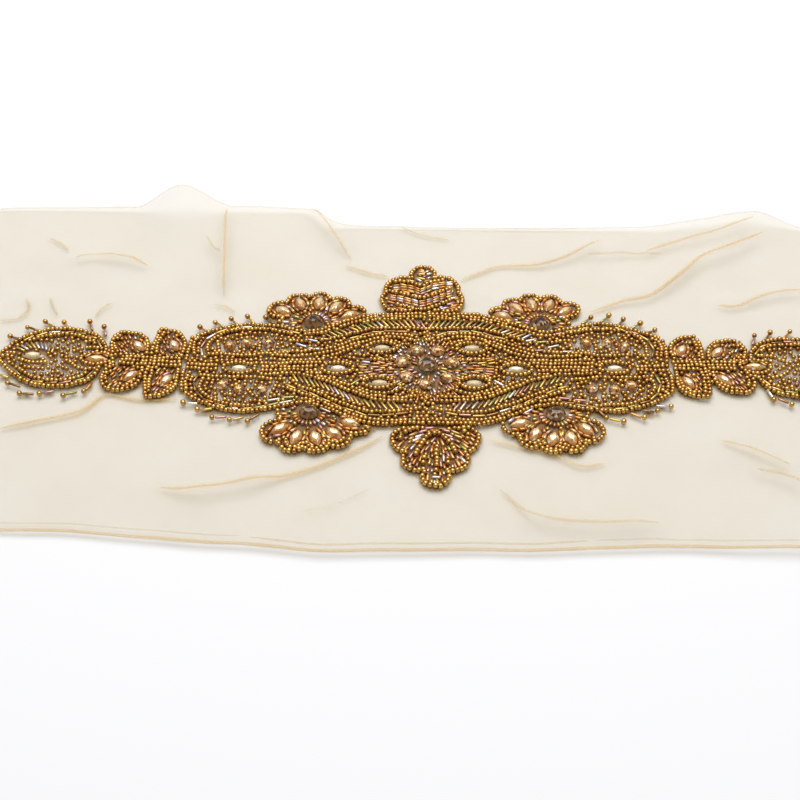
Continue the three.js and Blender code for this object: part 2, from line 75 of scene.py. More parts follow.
CREASES = [  # height of the ridge, its half width, how gold it is, and the points it passes
    (1.1, 2.6, 0.8, [(-176, 73), (-169, 76), (-154, 75), (-138, 69)]),
    (0.8, 2.4, 0.6, [(-193, 92), (-187, 88), (-181, 82)]),
    (0.9, 2.4, 0.7, [(-202, 28), (-193, 30), (-190, 37), (-193, 45)]),
    (0.8, 2.2, 0.5, [(-182, 46), (-179, 39), (-175, 32)]),
    (0.9, 2.4, 0.6, [(-157, 31), (-155, 37), (-151, 42)]),
    (1.6, 3.0, 0.7, [(-105, 116), (-103, 96), (-101, 78), (-98, 47)]),
    (1.1, 2.8, 0.5, [(-112, 91), (-108, 83), (-103, 76)]),
    (0.9, 2.4, 0.6, [(-102, 42), (-96, 40), (-91, 36)]),
    (1.5, 3.2, 0.6, [(-62, 119), (-53, 104), (-44, 87), (-38, 78)]),
    (1.2, 2.6, 0.8, [(-41, 73), (-28, 67), (-19, 65)]),
    (1.0, 2.6, 0.5, [(-15, 106), (-4, 99), (11, 95)]),
    (1.3, 2.6, 0.9, [(16, 63), (26, 69), (36, 74), (56, 75), (71, 81), (87, 93)]),
    (1.1, 3.0, 0.5, [(79, 82), (96, 84), (117, 85)]),
    (1.4, 2.8, 0.8, [(109, 86), (128, 94), (144, 100), (167, 111)]),
    (1.5, 2.6, 1.0, [(77, 40), (92, 47), (107, 51), (124, 66), (136, 79), (152, 87), (170, 100)]),
    (1.2, 2.6, 0.9, [(138, 46), (147, 45), (165, 53), (180, 56)]),
    (1.5, 2.6, 1.0, [(-183, -42), (-167, -37), (-151, -31), (-144, -22), (-140, -20), (-126, -23),
                     (-109, -22)]),
    (1.5, 2.8, 1.0, [(-109, -74), (-96, -76), (-80, -74), (-60, -67), (-44, -60), (-28, -50),
                     (-18, -42)]),
    (0.8, 3.2, 0.15, [(-50, -86), (-35, -80), (-23, -72)]),
    (1.2, 2.6, 0.8, [(27, -44), (40, -48), (52, -51), (64, -58), (75, -56)]),
    (1.0, 2.8, 0.6, [(30, -71), (46, -88), (69, -91), (93, -89)]),
    (1.1, 2.6, 0.8, [(125, -42), (137, -48), (151, -57)]),
    (0.9, 2.6, 0.6, [(136, -60), (146, -64), (153, -68)]),
    (1.0, 3.0, 0.5, [(-236, 40), (-226, 58), (-222, 80), (-226, 98)]),
    (0.9, 2.8, 0.5, [(-246, -30), (-232, -44), (-214, -52), (-196, -50)]),
    (1.0, 3.0, 0.5, [(214, 30), (222, 48), (232, 76), (240, 96)]),
    (0.9, 2.8, 0.5, [(204, -40), (220, -52), (228, -70), (230, -90)]),
]
CREASE_REACH = 12
CREASE_TROUGH = (0.2, 2.2, 1.4)  # its depth, distance and half width, as shares of the ridge's
SLACK_FROM, SLACK_OVER = 24, 14  # reach from the axis where the cloth starts to lie slack
CURVE_STEPS, RIBBON_AROUND, RIBBON_SINK = 16, 10, 0.12
PLEAT_SIZES = (0.55, 0.4, 0.15, 0.15)  # half width and what gold adds to it, height and the same
RIPPLES = np.array([  # height, wavelength and direction in degrees of the slack between creases
    (0.30, 61, 20), (0.22, 37, 105), (0.16, 23, 62), (0.12, 15, 148)])


def smoothstep(t):
    """0 to 1, easing in and out: t squared times three minus two t."""
    t = np.clip(t, 0, 1)
    return t * t * (3 - 2 * t)


def eased(table, x, column):
    """A table's column at x, eased from each row to the next by the smoothstep."""
    k = np.clip(np.searchsorted(table[:, 0], x) - 1, 0, len(table) - 2)
    a, b = table[k], table[k + 1]
    t = smoothstep((x - a[..., 0]) / (b[..., 0] - a[..., 0]))
    return a[..., column] + t * (b[..., column] - a[..., column])


def smooth_curve(points, closed=False):
    """Catmull-Rom curve through the points: on each stretch a cubic whose slope at a point is half
    the chord between its neighbours."""
    p = np.asarray(points, float)
    if closed:
        p = np.vstack([p[-1], p, p[0], p[1]])
    else:
        p = np.vstack([2 * p[0] - p[1], p, 2 * p[-1] - p[-2]])
    a, b, c, d = (p[k:len(p) - 3 + k, None] for k in range(4))
    t = (np.arange(CURVE_STEPS) / CURVE_STEPS)[None, :, None]
    bend = 2 * b + (c - a) * t + (2 * a - 5 * b + 4 * c - d) * t ** 2 + (3 * b - a - 3 * c + d) * t ** 3
    out = (bend / 2).reshape(-1, p.shape[1])
    return np.vstack([out, p[-2]])


def unit(ways):
    """The same directions, each one long."""
    return ways / np.linalg.norm(ways, axis=-1, keepdims=True)


def aside(ways):
    """The same directions, a quarter turn to the left."""
    return np.stack([-ways[..., 1], ways[..., 0]], -1)


def ray(turn):
    """Direction at an angle in radians."""
    return np.stack([np.cos(turn), np.sin(turn)], -1)


def along_and_across(x, y, turn):
    """Distances along and across a direction in degrees."""
    c, s = ray(np.radians(turn))
    return x * c + y * s, y * c - x * s


def spaced(curve, pitch, ends=0.5):
    """Points at an even pitch along a dense curve, the first `ends` of a pitch in from its start,
    with the unit direction of the curve at each and the share of the way along."""
    step = np.linalg.norm(np.diff(curve, axis=0), axis=1)
    s = np.concatenate([[0], np.cumsum(step)])
    count = max(int(round(s[-1] / pitch + 1 - 2 * ends)), 1)
    share = np.array([0.5])
    if count > 1:
        share = np.linspace(ends * pitch, s[-1] - ends * pitch, count) / s[-1]
    at = np.stack([np.interp(share * s[-1], s, c) for c in curve.T], 1)
    way = np.stack([np.interp(share * s[-1], s, np.gradient(c, s + np.arange(len(s)) * 1e-9))
                    for c in curve.T], 1)
    return at, unit(way), share


def clear_of_beads(x, y):
    """0 where the beadwork keeps the net flat, 1 in the open cloth: it starts at a reach from the
    belt's axis that is greater at the shells than at the ends, and eases in."""
    reach = FLAT_REACH_END + FLAT_REACH_SHELLS * np.exp(-(x / FLAT_REACH_HALF_LENGTH) ** 4)
    return smoothstep((np.abs(y) - reach) / FLAT_REACH_BLEND)


def open_height(x, y):
    """Height of the net's underside: the lift of the nearer edge, fading inward as a bell, plus the
    long folds, each a bell across and a smoothstep to its ends."""
    far = y > 0
    edge_y = np.where(far, eased(FAR_EDGE, x, 1), eased(NEAR_EDGE, x, 1))
    lift = np.where(far, eased(FAR_EDGE, x, 2), eased(NEAR_EDGE, x, 2))
    height = lift * np.exp(-((edge_y - y) / EDGE_LIFT_FADE) ** 2)
    for fx, fy, turn, half_length, half_width, rise in FOLDS:
        along, across = along_and_across(x - fx, y - fy, turn)
        taper = smoothstep((half_length - np.abs(along)) / (half_length / 2))
        height = height + rise * taper * np.exp(-(across / half_width) ** 2)
    return height * clear_of_beads(x, y)


def crease_height(x, y):
    """Ridges of the creases: a bell across each, rising and falling along it, with a shallow trough
    beside it. Also gives how pinched the cloth is at each point, 0 to 1."""
    height, pinch = np.zeros_like(x), np.zeros_like(x)
    for rise, half_width, gold, points in CREASES:
        line, way, share = spaced(smooth_curve(points), RIDGE_SPACING)
        (left, nearest), (right, farthest) = line.min(0) - CREASE_REACH, line.max(0) + CREASE_REACH
        near = (x > left) & (x < right) & (y > nearest) & (y < farthest)
        px, py = x[near], y[near]
        gap = (px[:, None] - line[:, 0]) ** 2 + (py[:, None] - line[:, 1]) ** 2
        k = gap.argmin(1)
        side = np.sign((py - line[k, 1]) * way[k, 0] - (px - line[k, 0]) * way[k, 1])
        away = side * np.sqrt(gap.min(1))
        swell = np.sin(np.pi * (0.06 + 0.88 * share[k])) ** 0.7 * (1 + 0.25 * np.sin(share[k] * 17))
        bell = np.exp(-(away / half_width) ** 2)
        deep, out, wide = CREASE_TROUGH
        trough = deep * np.exp(-((away - out * half_width) / (wide * half_width)) ** 2)
        height[near] += 0.8 * rise * swell * (bell - trough)
        pinch[near] = np.maximum(pinch[near], gold * swell * bell)
    return height, pinch


def net_top(x, y):
    """Upper side of the net, in mm over the table: its form in the open, its creases and ripples,
    and a flat bed held up by the stitches under the beadwork."""
    open_cloth = clear_of_beads(x, y)
    ridges, pinch = crease_height(x, y)
    ripple = np.zeros_like(x)
    for k, (rise, wave, turn) in enumerate(RIPPLES):
        along, _ = along_and_across(x, y, turn)
        bent = 1.7 * k + 1.3 * np.sin(y / 31 + k)
        ripple = ripple + rise * (1 + np.sin(along * 2 * np.pi / wave + bent))
    beyond = smoothstep((np.abs(y) - SLACK_FROM) / SLACK_OVER) * (1 - 0.6 * np.exp(-(x / 60) ** 4))
    rest = open_height(x, y) + NET_THICK
    bed = (NET_UNDER_BEADS - NET_THICK) * (1 - open_cloth)
    slack = beyond * (ridges + 0.5 * ripple * (0.3 + 0.7 * open_cloth))
    return np.maximum(rest + bed + slack, NET_THICK), pinch


def into_part(x, y, z):
    """From the belt's own axis in mm to the part's frame in metres."""
    return np.stack([x, y + AXIS_Y, z], -1) * MM


def new_mesh(name, verts, faces, smooth=True, values=(), face_values=(), uv=None):
    """A mesh object from arrays: points, faces that all have one number of corners, and named
    values at the points or on the faces, which are one number or a colour each."""
    mesh = bpy.data.meshes.new(name)
    count, corners = faces.shape
    mesh.vertices.add(len(verts))
    mesh.vertices.foreach_set("co", np.ascontiguousarray(verts, np.float32).ravel())
    mesh.loops.add(count * corners)
    mesh.loops.foreach_set("vertex_index", np.ascontiguousarray(faces, np.int32).ravel())
    mesh.polygons.add(count)
    mesh.polygons.foreach_set("loop_start", np.arange(0, count * corners, corners, dtype=np.int32))
    mesh.polygons.foreach_set("use_smooth", np.full(count, smooth))
    mesh.update(calc_edges=True)
    named = [(*pair, "POINT") for pair in values] + [(*pair, "FACE") for pair in face_values]
    for label, numbers, domain in named:
        colour = np.ndim(numbers) == 2
        slot = mesh.attributes.new(label, "FLOAT_COLOR" if colour else "FLOAT", domain)
        slot.data.foreach_set("color" if colour else "value", np.asarray(numbers, np.float32).ravel())
    if uv is not None:
        layer = mesh.uv_layers.new(name="cut")
        layer.data.foreach_set("uv", np.asarray(uv[faces.ravel()], np.float32).ravel())
    piece = bpy.data.objects.new(name, mesh)
    bpy.context.scene.collection.objects.link(piece)
    return piece


def grid_faces(rows, columns, closed=False):
    """Quads of a grid of points stored row by row. A closed grid joins its last column to its first."""
    i = np.arange(rows - 1)[:, None] * columns
    j = np.arange(columns if closed else columns - 1)[None]
    k = (j + 1) % columns
    return np.stack([i + j, i + columns + j, i + columns + k, i + k], -1).reshape(-1, 4)


def flat_ribbon(line, way, half_width, rise):
    """Closed lens carried along a path on the net: across it is a cosine, over it a sine to `rise`
    and under it a shallower sine. It narrows to a point at both ends. Gives points, quads and how
    near the middle of its width each point is."""
    t = np.linspace(0, 1, len(line))
    taper = np.clip(np.minimum(t, 1 - t) * 12, 0.001, 1)[:, None] ** 0.5
    turn = np.arange(RIBBON_AROUND) / RIBBON_AROUND * 2 * np.pi
    out = np.cos(turn) * half_width * taper
    x = line[:, :1] - way[:, 1:] * out
    y = line[:, 1:] + way[:, :1] * out
    up = np.where(np.sin(turn) > 0, rise, RIBBON_SINK) * np.sin(turn) * taper
    top, _ = net_top(x, y)
    verts = into_part(x, y, top + up).reshape(-1, 3)
    middle = np.broadcast_to(np.abs(np.sin(turn)), x.shape).ravel()
    faces = grid_faces(len(line), RIBBON_AROUND, closed=True)[:, ::-1]
    return verts, faces, middle


def joined(parts):
    """One set of arrays from several: points, faces moved on past the points before them, and any
    further columns end to end."""
    start = np.cumsum([0] + [len(p[0]) for p in parts[:-1]])
    faces = np.vstack([p[1] + s for p, s in zip(parts, start)])
    return (np.vstack([p[0] for p in parts]), faces,
            *(np.concatenate([p[k] for p in parts]) for k in range(2, len(parts[0]))))


class Value:
    """A shader socket that takes part in Python arithmetic: each operator adds a Math node."""

    def __init__(self, shade, socket):
        self.shade, self.socket = shade, socket

    def math(self, operation, *others):
        node = self.shade.node("ShaderNodeMath", {"operation": operation},
                               dict(enumerate((self, *others))))
        return Value(self.shade, node.outputs[0])

    def __add__(self, other):
        return self.math("ADD", other)

    def __mul__(self, other):
        return self.math("MULTIPLY", other)

    def __sub__(self, other):
        return self.math("SUBTRACT", other)

    def __rsub__(self, other):
        return (self * -1) + other

    __radd__, __rmul__ = __add__, __mul__

    def clamped(self):
        return self.math("MAXIMUM", 0.0).math("MINIMUM", 1.0)


class Shade:
    """One material, built node by node round a Principled shader."""

    def __init__(self, name, **constants):
        self.material = bpy.data.materials.new(name)
        self.material.use_nodes = True
        self.tree = self.material.node_tree
        self.tree.nodes.clear()
        self.surface = self.node("ShaderNodeBsdfPrincipled", {}, constants)
        self.node("ShaderNodeOutputMaterial", {}, {"Surface": self.surface.outputs[0]})

    def node(self, kind, settings, inputs):
        """Any node: its type, its settings, then the values or links of its sockets."""
        node = self.tree.nodes.new(kind)
        for key, value in settings.items():
            setattr(node, key, value)
        for key, value in inputs.items():
            socket = node.inputs[key]
            if isinstance(value, Value):
                value = value.socket
            if isinstance(value, bpy.types.NodeSocket):
                self.tree.links.new(value, socket)
            else:
                socket.default_value = value
        return node

    def attribute(self, name, output="Fac"):
        node = self.node("ShaderNodeAttribute", {"attribute_name": name}, {})
        return Value(self, node.outputs[output])

    def place(self, axis=None):
        """Object coordinates in metres, whole or one axis of them."""
        spot = self.node("ShaderNodeTexCoord", {}, {}).outputs["Object"]
        if axis is None:
            return Value(self, spot)
        return Value(self, self.node("ShaderNodeSeparateXYZ", {}, {0: spot}).outputs[axis])

    def noise(self, scale, detail):
        inputs = {"Vector": self.place(), "Scale": scale, "Detail": detail}
        return Value(self, self.node("ShaderNodeTexNoise", {}, inputs).outputs["Fac"])

    def mix(self, factor, first, second):
        """Colour between two colours."""
        node = self.node("ShaderNodeMix", {"data_type": "RGBA"}, {0: factor, 6: first, 7: second})
        return Value(self, node.outputs[2])

    def set(self, **sockets):
        for label, value in sockets.items():
            self.tree.links.new(value.socket, self.surface.inputs[label.replace("_", " ")])


def net_shade(name, alpha, fade_by=None):
    """Fine net: threads crossing at an angle show as thin lines. Where the cloth is pinched or
    doubled it turns from cream to gold and lets less light through. Where it is sewn on it is nearly
    opaque and painted brown: partly the threads on its underside, mostly painted shade among the beads."""
    shade = Shade(name, Roughness=0.75)
    gold, sewn_and_shaded = shade.attribute("gold"), shade.attribute("sewn_shade")
    x, y = shade.place("X") * 0.87, shade.place("Y") * 0.5
    first, second = ((way * (2 * np.pi / WEAVE)).math("SINE").math("ABSOLUTE") for way in (x + y, x - y))
    holes = first * second
    patchy = shade.noise(28.0, 3.0)
    cream = shade.mix(patchy, (0.60, 0.46, 0.21, 1), (0.66, 0.54, 0.28, 1))
    golden = shade.mix((gold * 1.1).clamped(), cream, (0.80, 0.54, 0.18, 1))
    # Painted shade: dark brown where the net is sewn on, among the beads.
    shade.set(Base_Color=shade.mix(sewn_and_shaded, golden, (0.28, 0.145, 0.055, 1)))
    cover = (1 - holes * 0.55) * (gold * alpha[1] + alpha[0]) * (patchy * 0.5 + 0.75)
    if fade_by:
        cover = cover * shade.attribute(fade_by)
    shade.set(Alpha=(cover + sewn_and_shaded * 0.75).clamped())
    return shade.material


def put(piece, material, slot, *nodes):
    """Gives a piece its material, and has it ride on the belt's one body, in place of the solids that
    are named. The slot it is handed is not used."""
    piece.data.materials.append(material)
    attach(piece, "root")
    if nodes:
        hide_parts(*nodes)
    return piece


u, v = np.meshgrid(np.linspace(0, 1, NET_COLUMNS + 1), np.linspace(0, 1, NET_ROWS + 1), indexing="ij")
end_x = NET_HALF_LENGTH - END_WAVE * np.sin(3 * np.pi * v) ** 2
net_x = end_x * (2 * u - 1)
net_y = eased(NEAR_EDGE, net_x, 1) * (1 - v) + eased(FAR_EDGE, net_x, 1) * v
net_z, pinched = net_top(net_x, net_y)
upper = into_part(net_x, net_y, net_z).reshape(-1, 3)
lower = into_part(net_x, net_y, net_z - NET_THICK).reshape(-1, 3)
shell = grid_faces(NET_COLUMNS + 1, NET_ROWS + 1)
corner = np.arange((NET_COLUMNS + 1) * (NET_ROWS + 1)).reshape(NET_COLUMNS + 1, -1)
rim = np.concatenate([corner[:-1, 0], corner[-1, :-1], corner[:0:-1, -1], corner[0, :0:-1]])
rim_next, below = np.roll(rim, -1), len(upper)
rim_faces = np.stack([rim, rim + below, rim_next + below, rim_next], 1)
flat = np.stack([u, v], -1).reshape(-1, 2)
net_faces = np.vstack([shell, shell[:, ::-1] + below, rim_faces])
net = new_mesh("net_cloth", np.vstack([upper, lower]), net_faces,
               values=[("gold", np.tile(0.35 * pinched.ravel(), 2))], uv=np.vstack([flat, flat]))
put(net, net_shade("cream net", (0.17, 0.30)), "net", "net_ground")


def ribbons(name, parts, shade_name, alpha):
    """Ribbons on the net as one piece, which fades toward their edges."""
    verts, faces, middle, gold = joined(parts)
    piece = new_mesh(name, verts, faces, values=[("middle", middle), ("gold", gold)])
    return put(piece, net_shade(shade_name, alpha, "middle"), "net")


# Creases pinched to a sharp doubled line, the hem and the loose threads of the raw edge.
pleats = []
wide, wide_by_gold, high, high_by_gold = PLEAT_SIZES
for rise, half_width, gold, points in CREASES:
    line, way, _ = spaced(smooth_curve(points), RIBBON_SPACING, ends=0)
    verts, faces, middle = flat_ribbon(line, way, wide + wide_by_gold * gold, high + high_by_gold * gold)
    pleats.append((verts, faces, middle ** 1.5, np.full(len(verts), gold)))
pleat = ribbons("net_pleats", pleats, "pinched net", (0.03, 0.37))

HEMS = [  # edge, from x, to x, distance past it, half width, gold
    (NEAR_EDGE, -257, 257, 0.8, 0.75, 0.9), (NEAR_EDGE, -70, 66, 4.0, 0.5, 0.6),
    (NEAR_EDGE, -256, -70, 4.4, 0.4, 0.35), (NEAR_EDGE, 66, 256, 4.0, 0.4, 0.35),
    (FAR_EDGE, -256, 256, -0.8, 0.5, 0.6)]
hems = []
for edge, start, stop, past, half_width, gold in HEMS:
    hem_x = np.arange(start, stop, 2.0)
    raw = edge is FAR_EDGE
    wander = 0 if raw else 0.4 * np.sin(hem_x / 9) * np.sin(hem_x / 23)
    line = np.stack([hem_x, eased(edge, hem_x, 1) + past + wander], 1)
    verts, faces, _ = flat_ribbon(line, unit(np.gradient(line, axis=0)), half_width, 0.3)
    patches = 0.25 + 0.5 * (np.sin(verts[:, 0] * 31) * np.sin(verts[:, 0] * 11 + 1)) ** 2
    hems.append((verts, faces, patches if raw else np.ones(len(verts)), np.full(len(verts), gold)))
hem = ribbons("net_hem", hems, "doubled net", (0.05, 0.35))

# ---- Centre panel --------------------------------------------------------------------------
# The middle 220 mm of the beadwork, sewn by hand. Bronze-coated round seed beads are strung and
# couched down in curving rows round the stones, with lines and slanting ladders of coated glass
# tubes between them, and single beads where the net would show.
BEAD_PITCH = 1.92
BEAD_Z, TUBE_Z = 2.0, 1.85
BEAD_REACH, TUBE_RADIUS, TUBE_LENGTH, TUBE_GAP = 0.95, 0.58, 5.4, 0.3
# The beads of the fill sit lower and get a lower tone, which paints them darker: painted shade.
FILL_STEP, FILL_SINK, FILL_SHADE_TONE, FILL_BEAD_REACH = 1.6, -0.35, 0.8, 1.05
FILL_TUBE_ROOM, FILL_TUBE_WIDE = 0.55, 1.7  # gap to what is sewn before, and from tube to tube
SHORT_RADIUS = 0.75  # of the short tubes round a stone
WANDER = (0.22, 0.15, 0.12)  # how far a thread strays: slowly, quickly, and bead by bead
OVAL_CUTS = 48
RIM_IN, LINE_IN, SECOND_IN = 1.05, 2.7, 3.05  # how far in from the edge the panel's rows are
TUBE_SPAN = 0.36  # share of its length at which the spots that keep a tube's place end
BEAD_LIFT, BEAD_SWING, BEAD_SIZES, BEAD_TONES = 0.45, 0.14, 0.05, 0.28  # spreads of chance
TUBE_LIFT, TUBE_SWING, TUBE_SIZES, TUBE_TONES = 0.35, 0.05, (0.94, 1.04), (0.75, 1.2)
BEAD_PROFILE = [(0.40, -0.96), (0.92, -0.78), (1.17, 0), (0.92, 0.78), (0.40, 0.96)]
TUBE_PROFILE = [(0.45, -0.5), (0.85, -0.5), (1, -0.47), (1, 0.47), (0.85, 0.5), (0.45, 0.5)]
STONE_SIZES = {  # half length and half width in mm
    "clear_navette": (5.5, 2.3), "leaf_navette": (4.5, 2.4), "eye_navette": (5.25, 2.4),
    "flower_stone": (4.6, 4.6)}
# The pale ice and pearl tints are partly painted glints: light caught on the coating given as colour.
TINTS = np.array([  # linear colours of the coated tubes
    (0.62, 0.42, 0.08), (0.30, 0.15, 0.03), (0.54, 0.28, 0.22), (0.60, 0.56, 0.64), (0.38, 0.37, 0.08),
    (0.52, 0.20, 0.02), (0.66, 0.34, 0.10), (0.78, 0.70, 0.60)])
MIXES = {  # shares of gold, bronze, rose, ice, moss, orange, peach and pearl
    "line": (0.36, 0.27, 0.12, 0.03, 0.08, 0.04, 0.02, 0.08),
    "ladder": (0.44, 0.17, 0.10, 0.03, 0.12, 0.00, 0.04, 0.10),
    "warm": (0.13, 0.10, 0.09, 0.01, 0.02, 0.43, 0.20, 0.02),
    "fan": (0.15, 0.10, 0.17, 0.02, 0.03, 0.34, 0.14, 0.05),
    # The last mix, mostly pearl, ice, gold and rose, tints tubes pale as painted glints where they catch
    # the light.
    "pale_glint": (0.20, 0.00, 0.20, 0.14, 0.08, 0.00, 0.03, 0.35)}

PANEL_EDGE = np.array([(0, 36.6), (14, 36.8), (26, 36.2), (38, 31.2), (46, 27.2), (53, 24.7), (59, 25),
                       (72, 28.4), (80, 29.3), (88, 28.6), (101, 23.3), (108, 18.7)], float)
LOBE_LINE_END = [(97, 22), (101, 18), (103.3, 13), (103, 8.5), (101.5, 6)]
PANEL_ROWS = [  # rows that all four quarters of the panel have
    [(60, 21.5), (66, 22.8), (73, 24.6), (80, 25.1), (87, 24.5), (93, 22.6), (97, 19.6), (100, 15.5),
     (100.6, 11), (99.5, 8)],
    [(105.4, 18.6), (106.9, 14), (106.8, 9.5), (106.2, 5.5)],
    [(108.6, 17.4), (109, 12.5), (109, 7.5), (109, 2)],
    [(63, 8.6), (70, 8.2), (78, 7.4), (86, 7.2), (94, 7.4), (102, 6.4)]]
FAR_ROWS = [
    [(0, 31.6), (10, 31.9), (20, 31.7), (27, 30.6), (33, 28.2), (39, 25.6), (45, 23.2), (52, 21.3),
     (58, 21)],
    [(0, 25), (5, 25.5), (11, 26), (18, 26.2), (25, 25.3), (30, 23.7), (36, 21.2), (42, 18.8), (48, 17.2),
     (56, 16.6), (66, 17.2)],
    [(4, 18.6), (9, 20.9), (15, 21.8), (22, 21.5), (28, 19.6), (34, 16.8), (40, 13.8), (46, 11.3),
     (53, 9.9), (61, 9.4), (70, 9.3)],
    [(7, 17.2), (12, 19), (18, 19.5), (24, 18.6), (30, 16), (36, 12.9), (42, 10), (48, 7.9), (55, 6.9),
     (63, 6.7), (71, 7)],
    [(10.5, 14), (14.5, 16.6), (20, 17.6), (26, 16.6), (31, 13.8), (36, 10.6), (42, 7.6), (48, 5.5)],
    [(13, 4.6), (20, 4.3), (27, 4.8)],
    [(47, 1.6), (76, 1.8)], [(46, 3.9), (56, 3.7), (66, 4), (74, 4.6)],
    [(49, -0.7), (75, -0.7)], [(49, -2.9), (75, -2.9)],
    [(94, -0.6), (109, -0.4)], [(94, -2.8), (109, -2.8)]]
NEAR_ROWS = [
    [(37, 28), (43, 24.6), (49, 21.2), (55, 17.8), (61, 15), (68, 13.2)],
    [(2, 26.6), (8, 27.8), (15, 28.7), (21, 28.8), (27, 28), (33, 25.8), (39, 22.8), (45, 19.4), (51, 16),
     (57, 12.9)],
    [(6, 22), (13, 21.8), (20, 21.6), (26, 20), (31, 17.6), (36, 14.6), (41, 11.8), (47, 9), (53, 6.8),
     (60, 5)],
    [(4, 19.4), (12, 19.8), (20, 19.6), (26, 18), (31, 15.4), (36, 12.4), (42, 9.4), (48, 7)],
    [(10.5, 14), (14.5, 16.6), (20, 17.6), (26, 16.2), (31, 13.2)],
    [(47, 5), (60, 5.2), (75, 5.2)], [(46, 7.5), (60, 7.2)]]
FAR_LINE = [(4, 20.6), (9, 22.9), (16, 23.9), (23, 23.4), (30, 21), (36, 18.4)]
NEAR_LINE = [(8, 29), (14, 30.2), (21, 30.8), (27, 30.2), (33, 28), (39, 25), (45, 21.6), (51, 18),
             (57, 14.7), (63, 12.2)]
FAR_LADDER = [(1, 28.5), (8, 29.2), (16, 29.4), (23, 28.7), (30, 26.7), (36, 24.2), (42, 21.9), (47, 20)]
NEAR_LADDER = [(12, 25), (19, 24.9), (26, 23.6), (32, 21), (37, 18), (42, 15), (48, 12), (54, 9.6),
               (60, 7.4)]
FAR_SINGLES = [(48, 18, 15), (53, 17, 8), (52, 11.3, 5), (64.5, 10.2, 5), (58, 14, 15)]  # x, y, direction
NEAR_SINGLES = [(32, 10.6, 42), (44, 28, -30), (61, 20, 8), (67, 21.5, 14)]
PANEL_TUBES = {  # line, ladder with its leans in degrees and its pitch, and single tubes
    "far": (FAR_LINE, FAR_LADDER, (66, 28), 2.5, FAR_SINGLES),
    "near": (NEAR_LINE, NEAR_LADDER, (-60, -62), 2.6, NEAR_SINGLES)}
LOBE_STONES = [(73, 15.3), (83, 15.3), (90.5, 12.7)]
LOBE_STONE_RADIUS, BROOCH_CLEAR = 2.9, 15.0
PANEL_BOX, PANEL_APART = (0, 0, 109.5, 36), 1.95
AXIS_RING, PANEL_RING = (7.3, 3.8), (7.1, 3.7)
SIDES, ROWS = {"left": -1, "right": 1}, {"far": 1, "near": -1}


def turned(profile, around):
    """Closed ring turned round the x axis from a profile of (radius, along) that joins on itself:
    x is the along, y and z are the radius times a cosine and a sine."""
    radius, along = np.array(profile, float).T
    t = np.arange(around) / around * 2 * np.pi
    rim = radius[:, None]
    points = np.stack([along[:, None] + 0 * t, rim * np.cos(t), rim * np.sin(t)], -1).reshape(-1, 3)
    return points, (grid_faces(len(radius) + 1, around, closed=True) % len(points))[:, ::-1]


def copies(shape, at, along, size):
    """One shape carried to many places in mm: its x axis runs along each given direction, its y
    axis stays level, and its three axes are drawn out to each given size."""
    points, faces = shape
    a = unit(along)
    b = unit(np.stack([-a[:, 1], a[:, 0], 0 * a[:, 0]], 1))
    c = np.cross(a, b)
    p = points[None] * size[:, None]
    spots = at[:, None] + p[..., :1] * a[:, None] + p[..., 1:2] * b[:, None] + p[..., 2:] * c[:, None]
    shift = np.arange(len(at))[:, None, None] * len(points)
    return into_part(*spots.reshape(-1, 3).T), (faces + shift).reshape(-1, faces.shape[1])


def inset(curve, by):
    """A curve moved sideways by a distance, to its right as it runs."""
    return curve - by * aside(unit(np.gradient(curve, axis=0)))


def pointed_oval(x, y, half_length, half_width):
    """Closed curve round a pointed oval stone: the cosine and the sine of an angle, the sine's
    size raised to 1.3 so that the ends draw in."""
    t = np.arange(OVAL_CUTS) / OVAL_CUTS * 2 * np.pi
    across = np.sin(t) * np.abs(np.sin(t)) ** 0.3
    return np.stack([x + half_length * np.cos(t), y + half_width * across], 1)


def middle_of(node):
    """Middle of a node's box, in mm from the belt's axis."""
    low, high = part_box(node)
    return np.array([(low.x + high.x) / 2, (low.y + high.y) / 2]) / MM - (0, AXIS_Y)


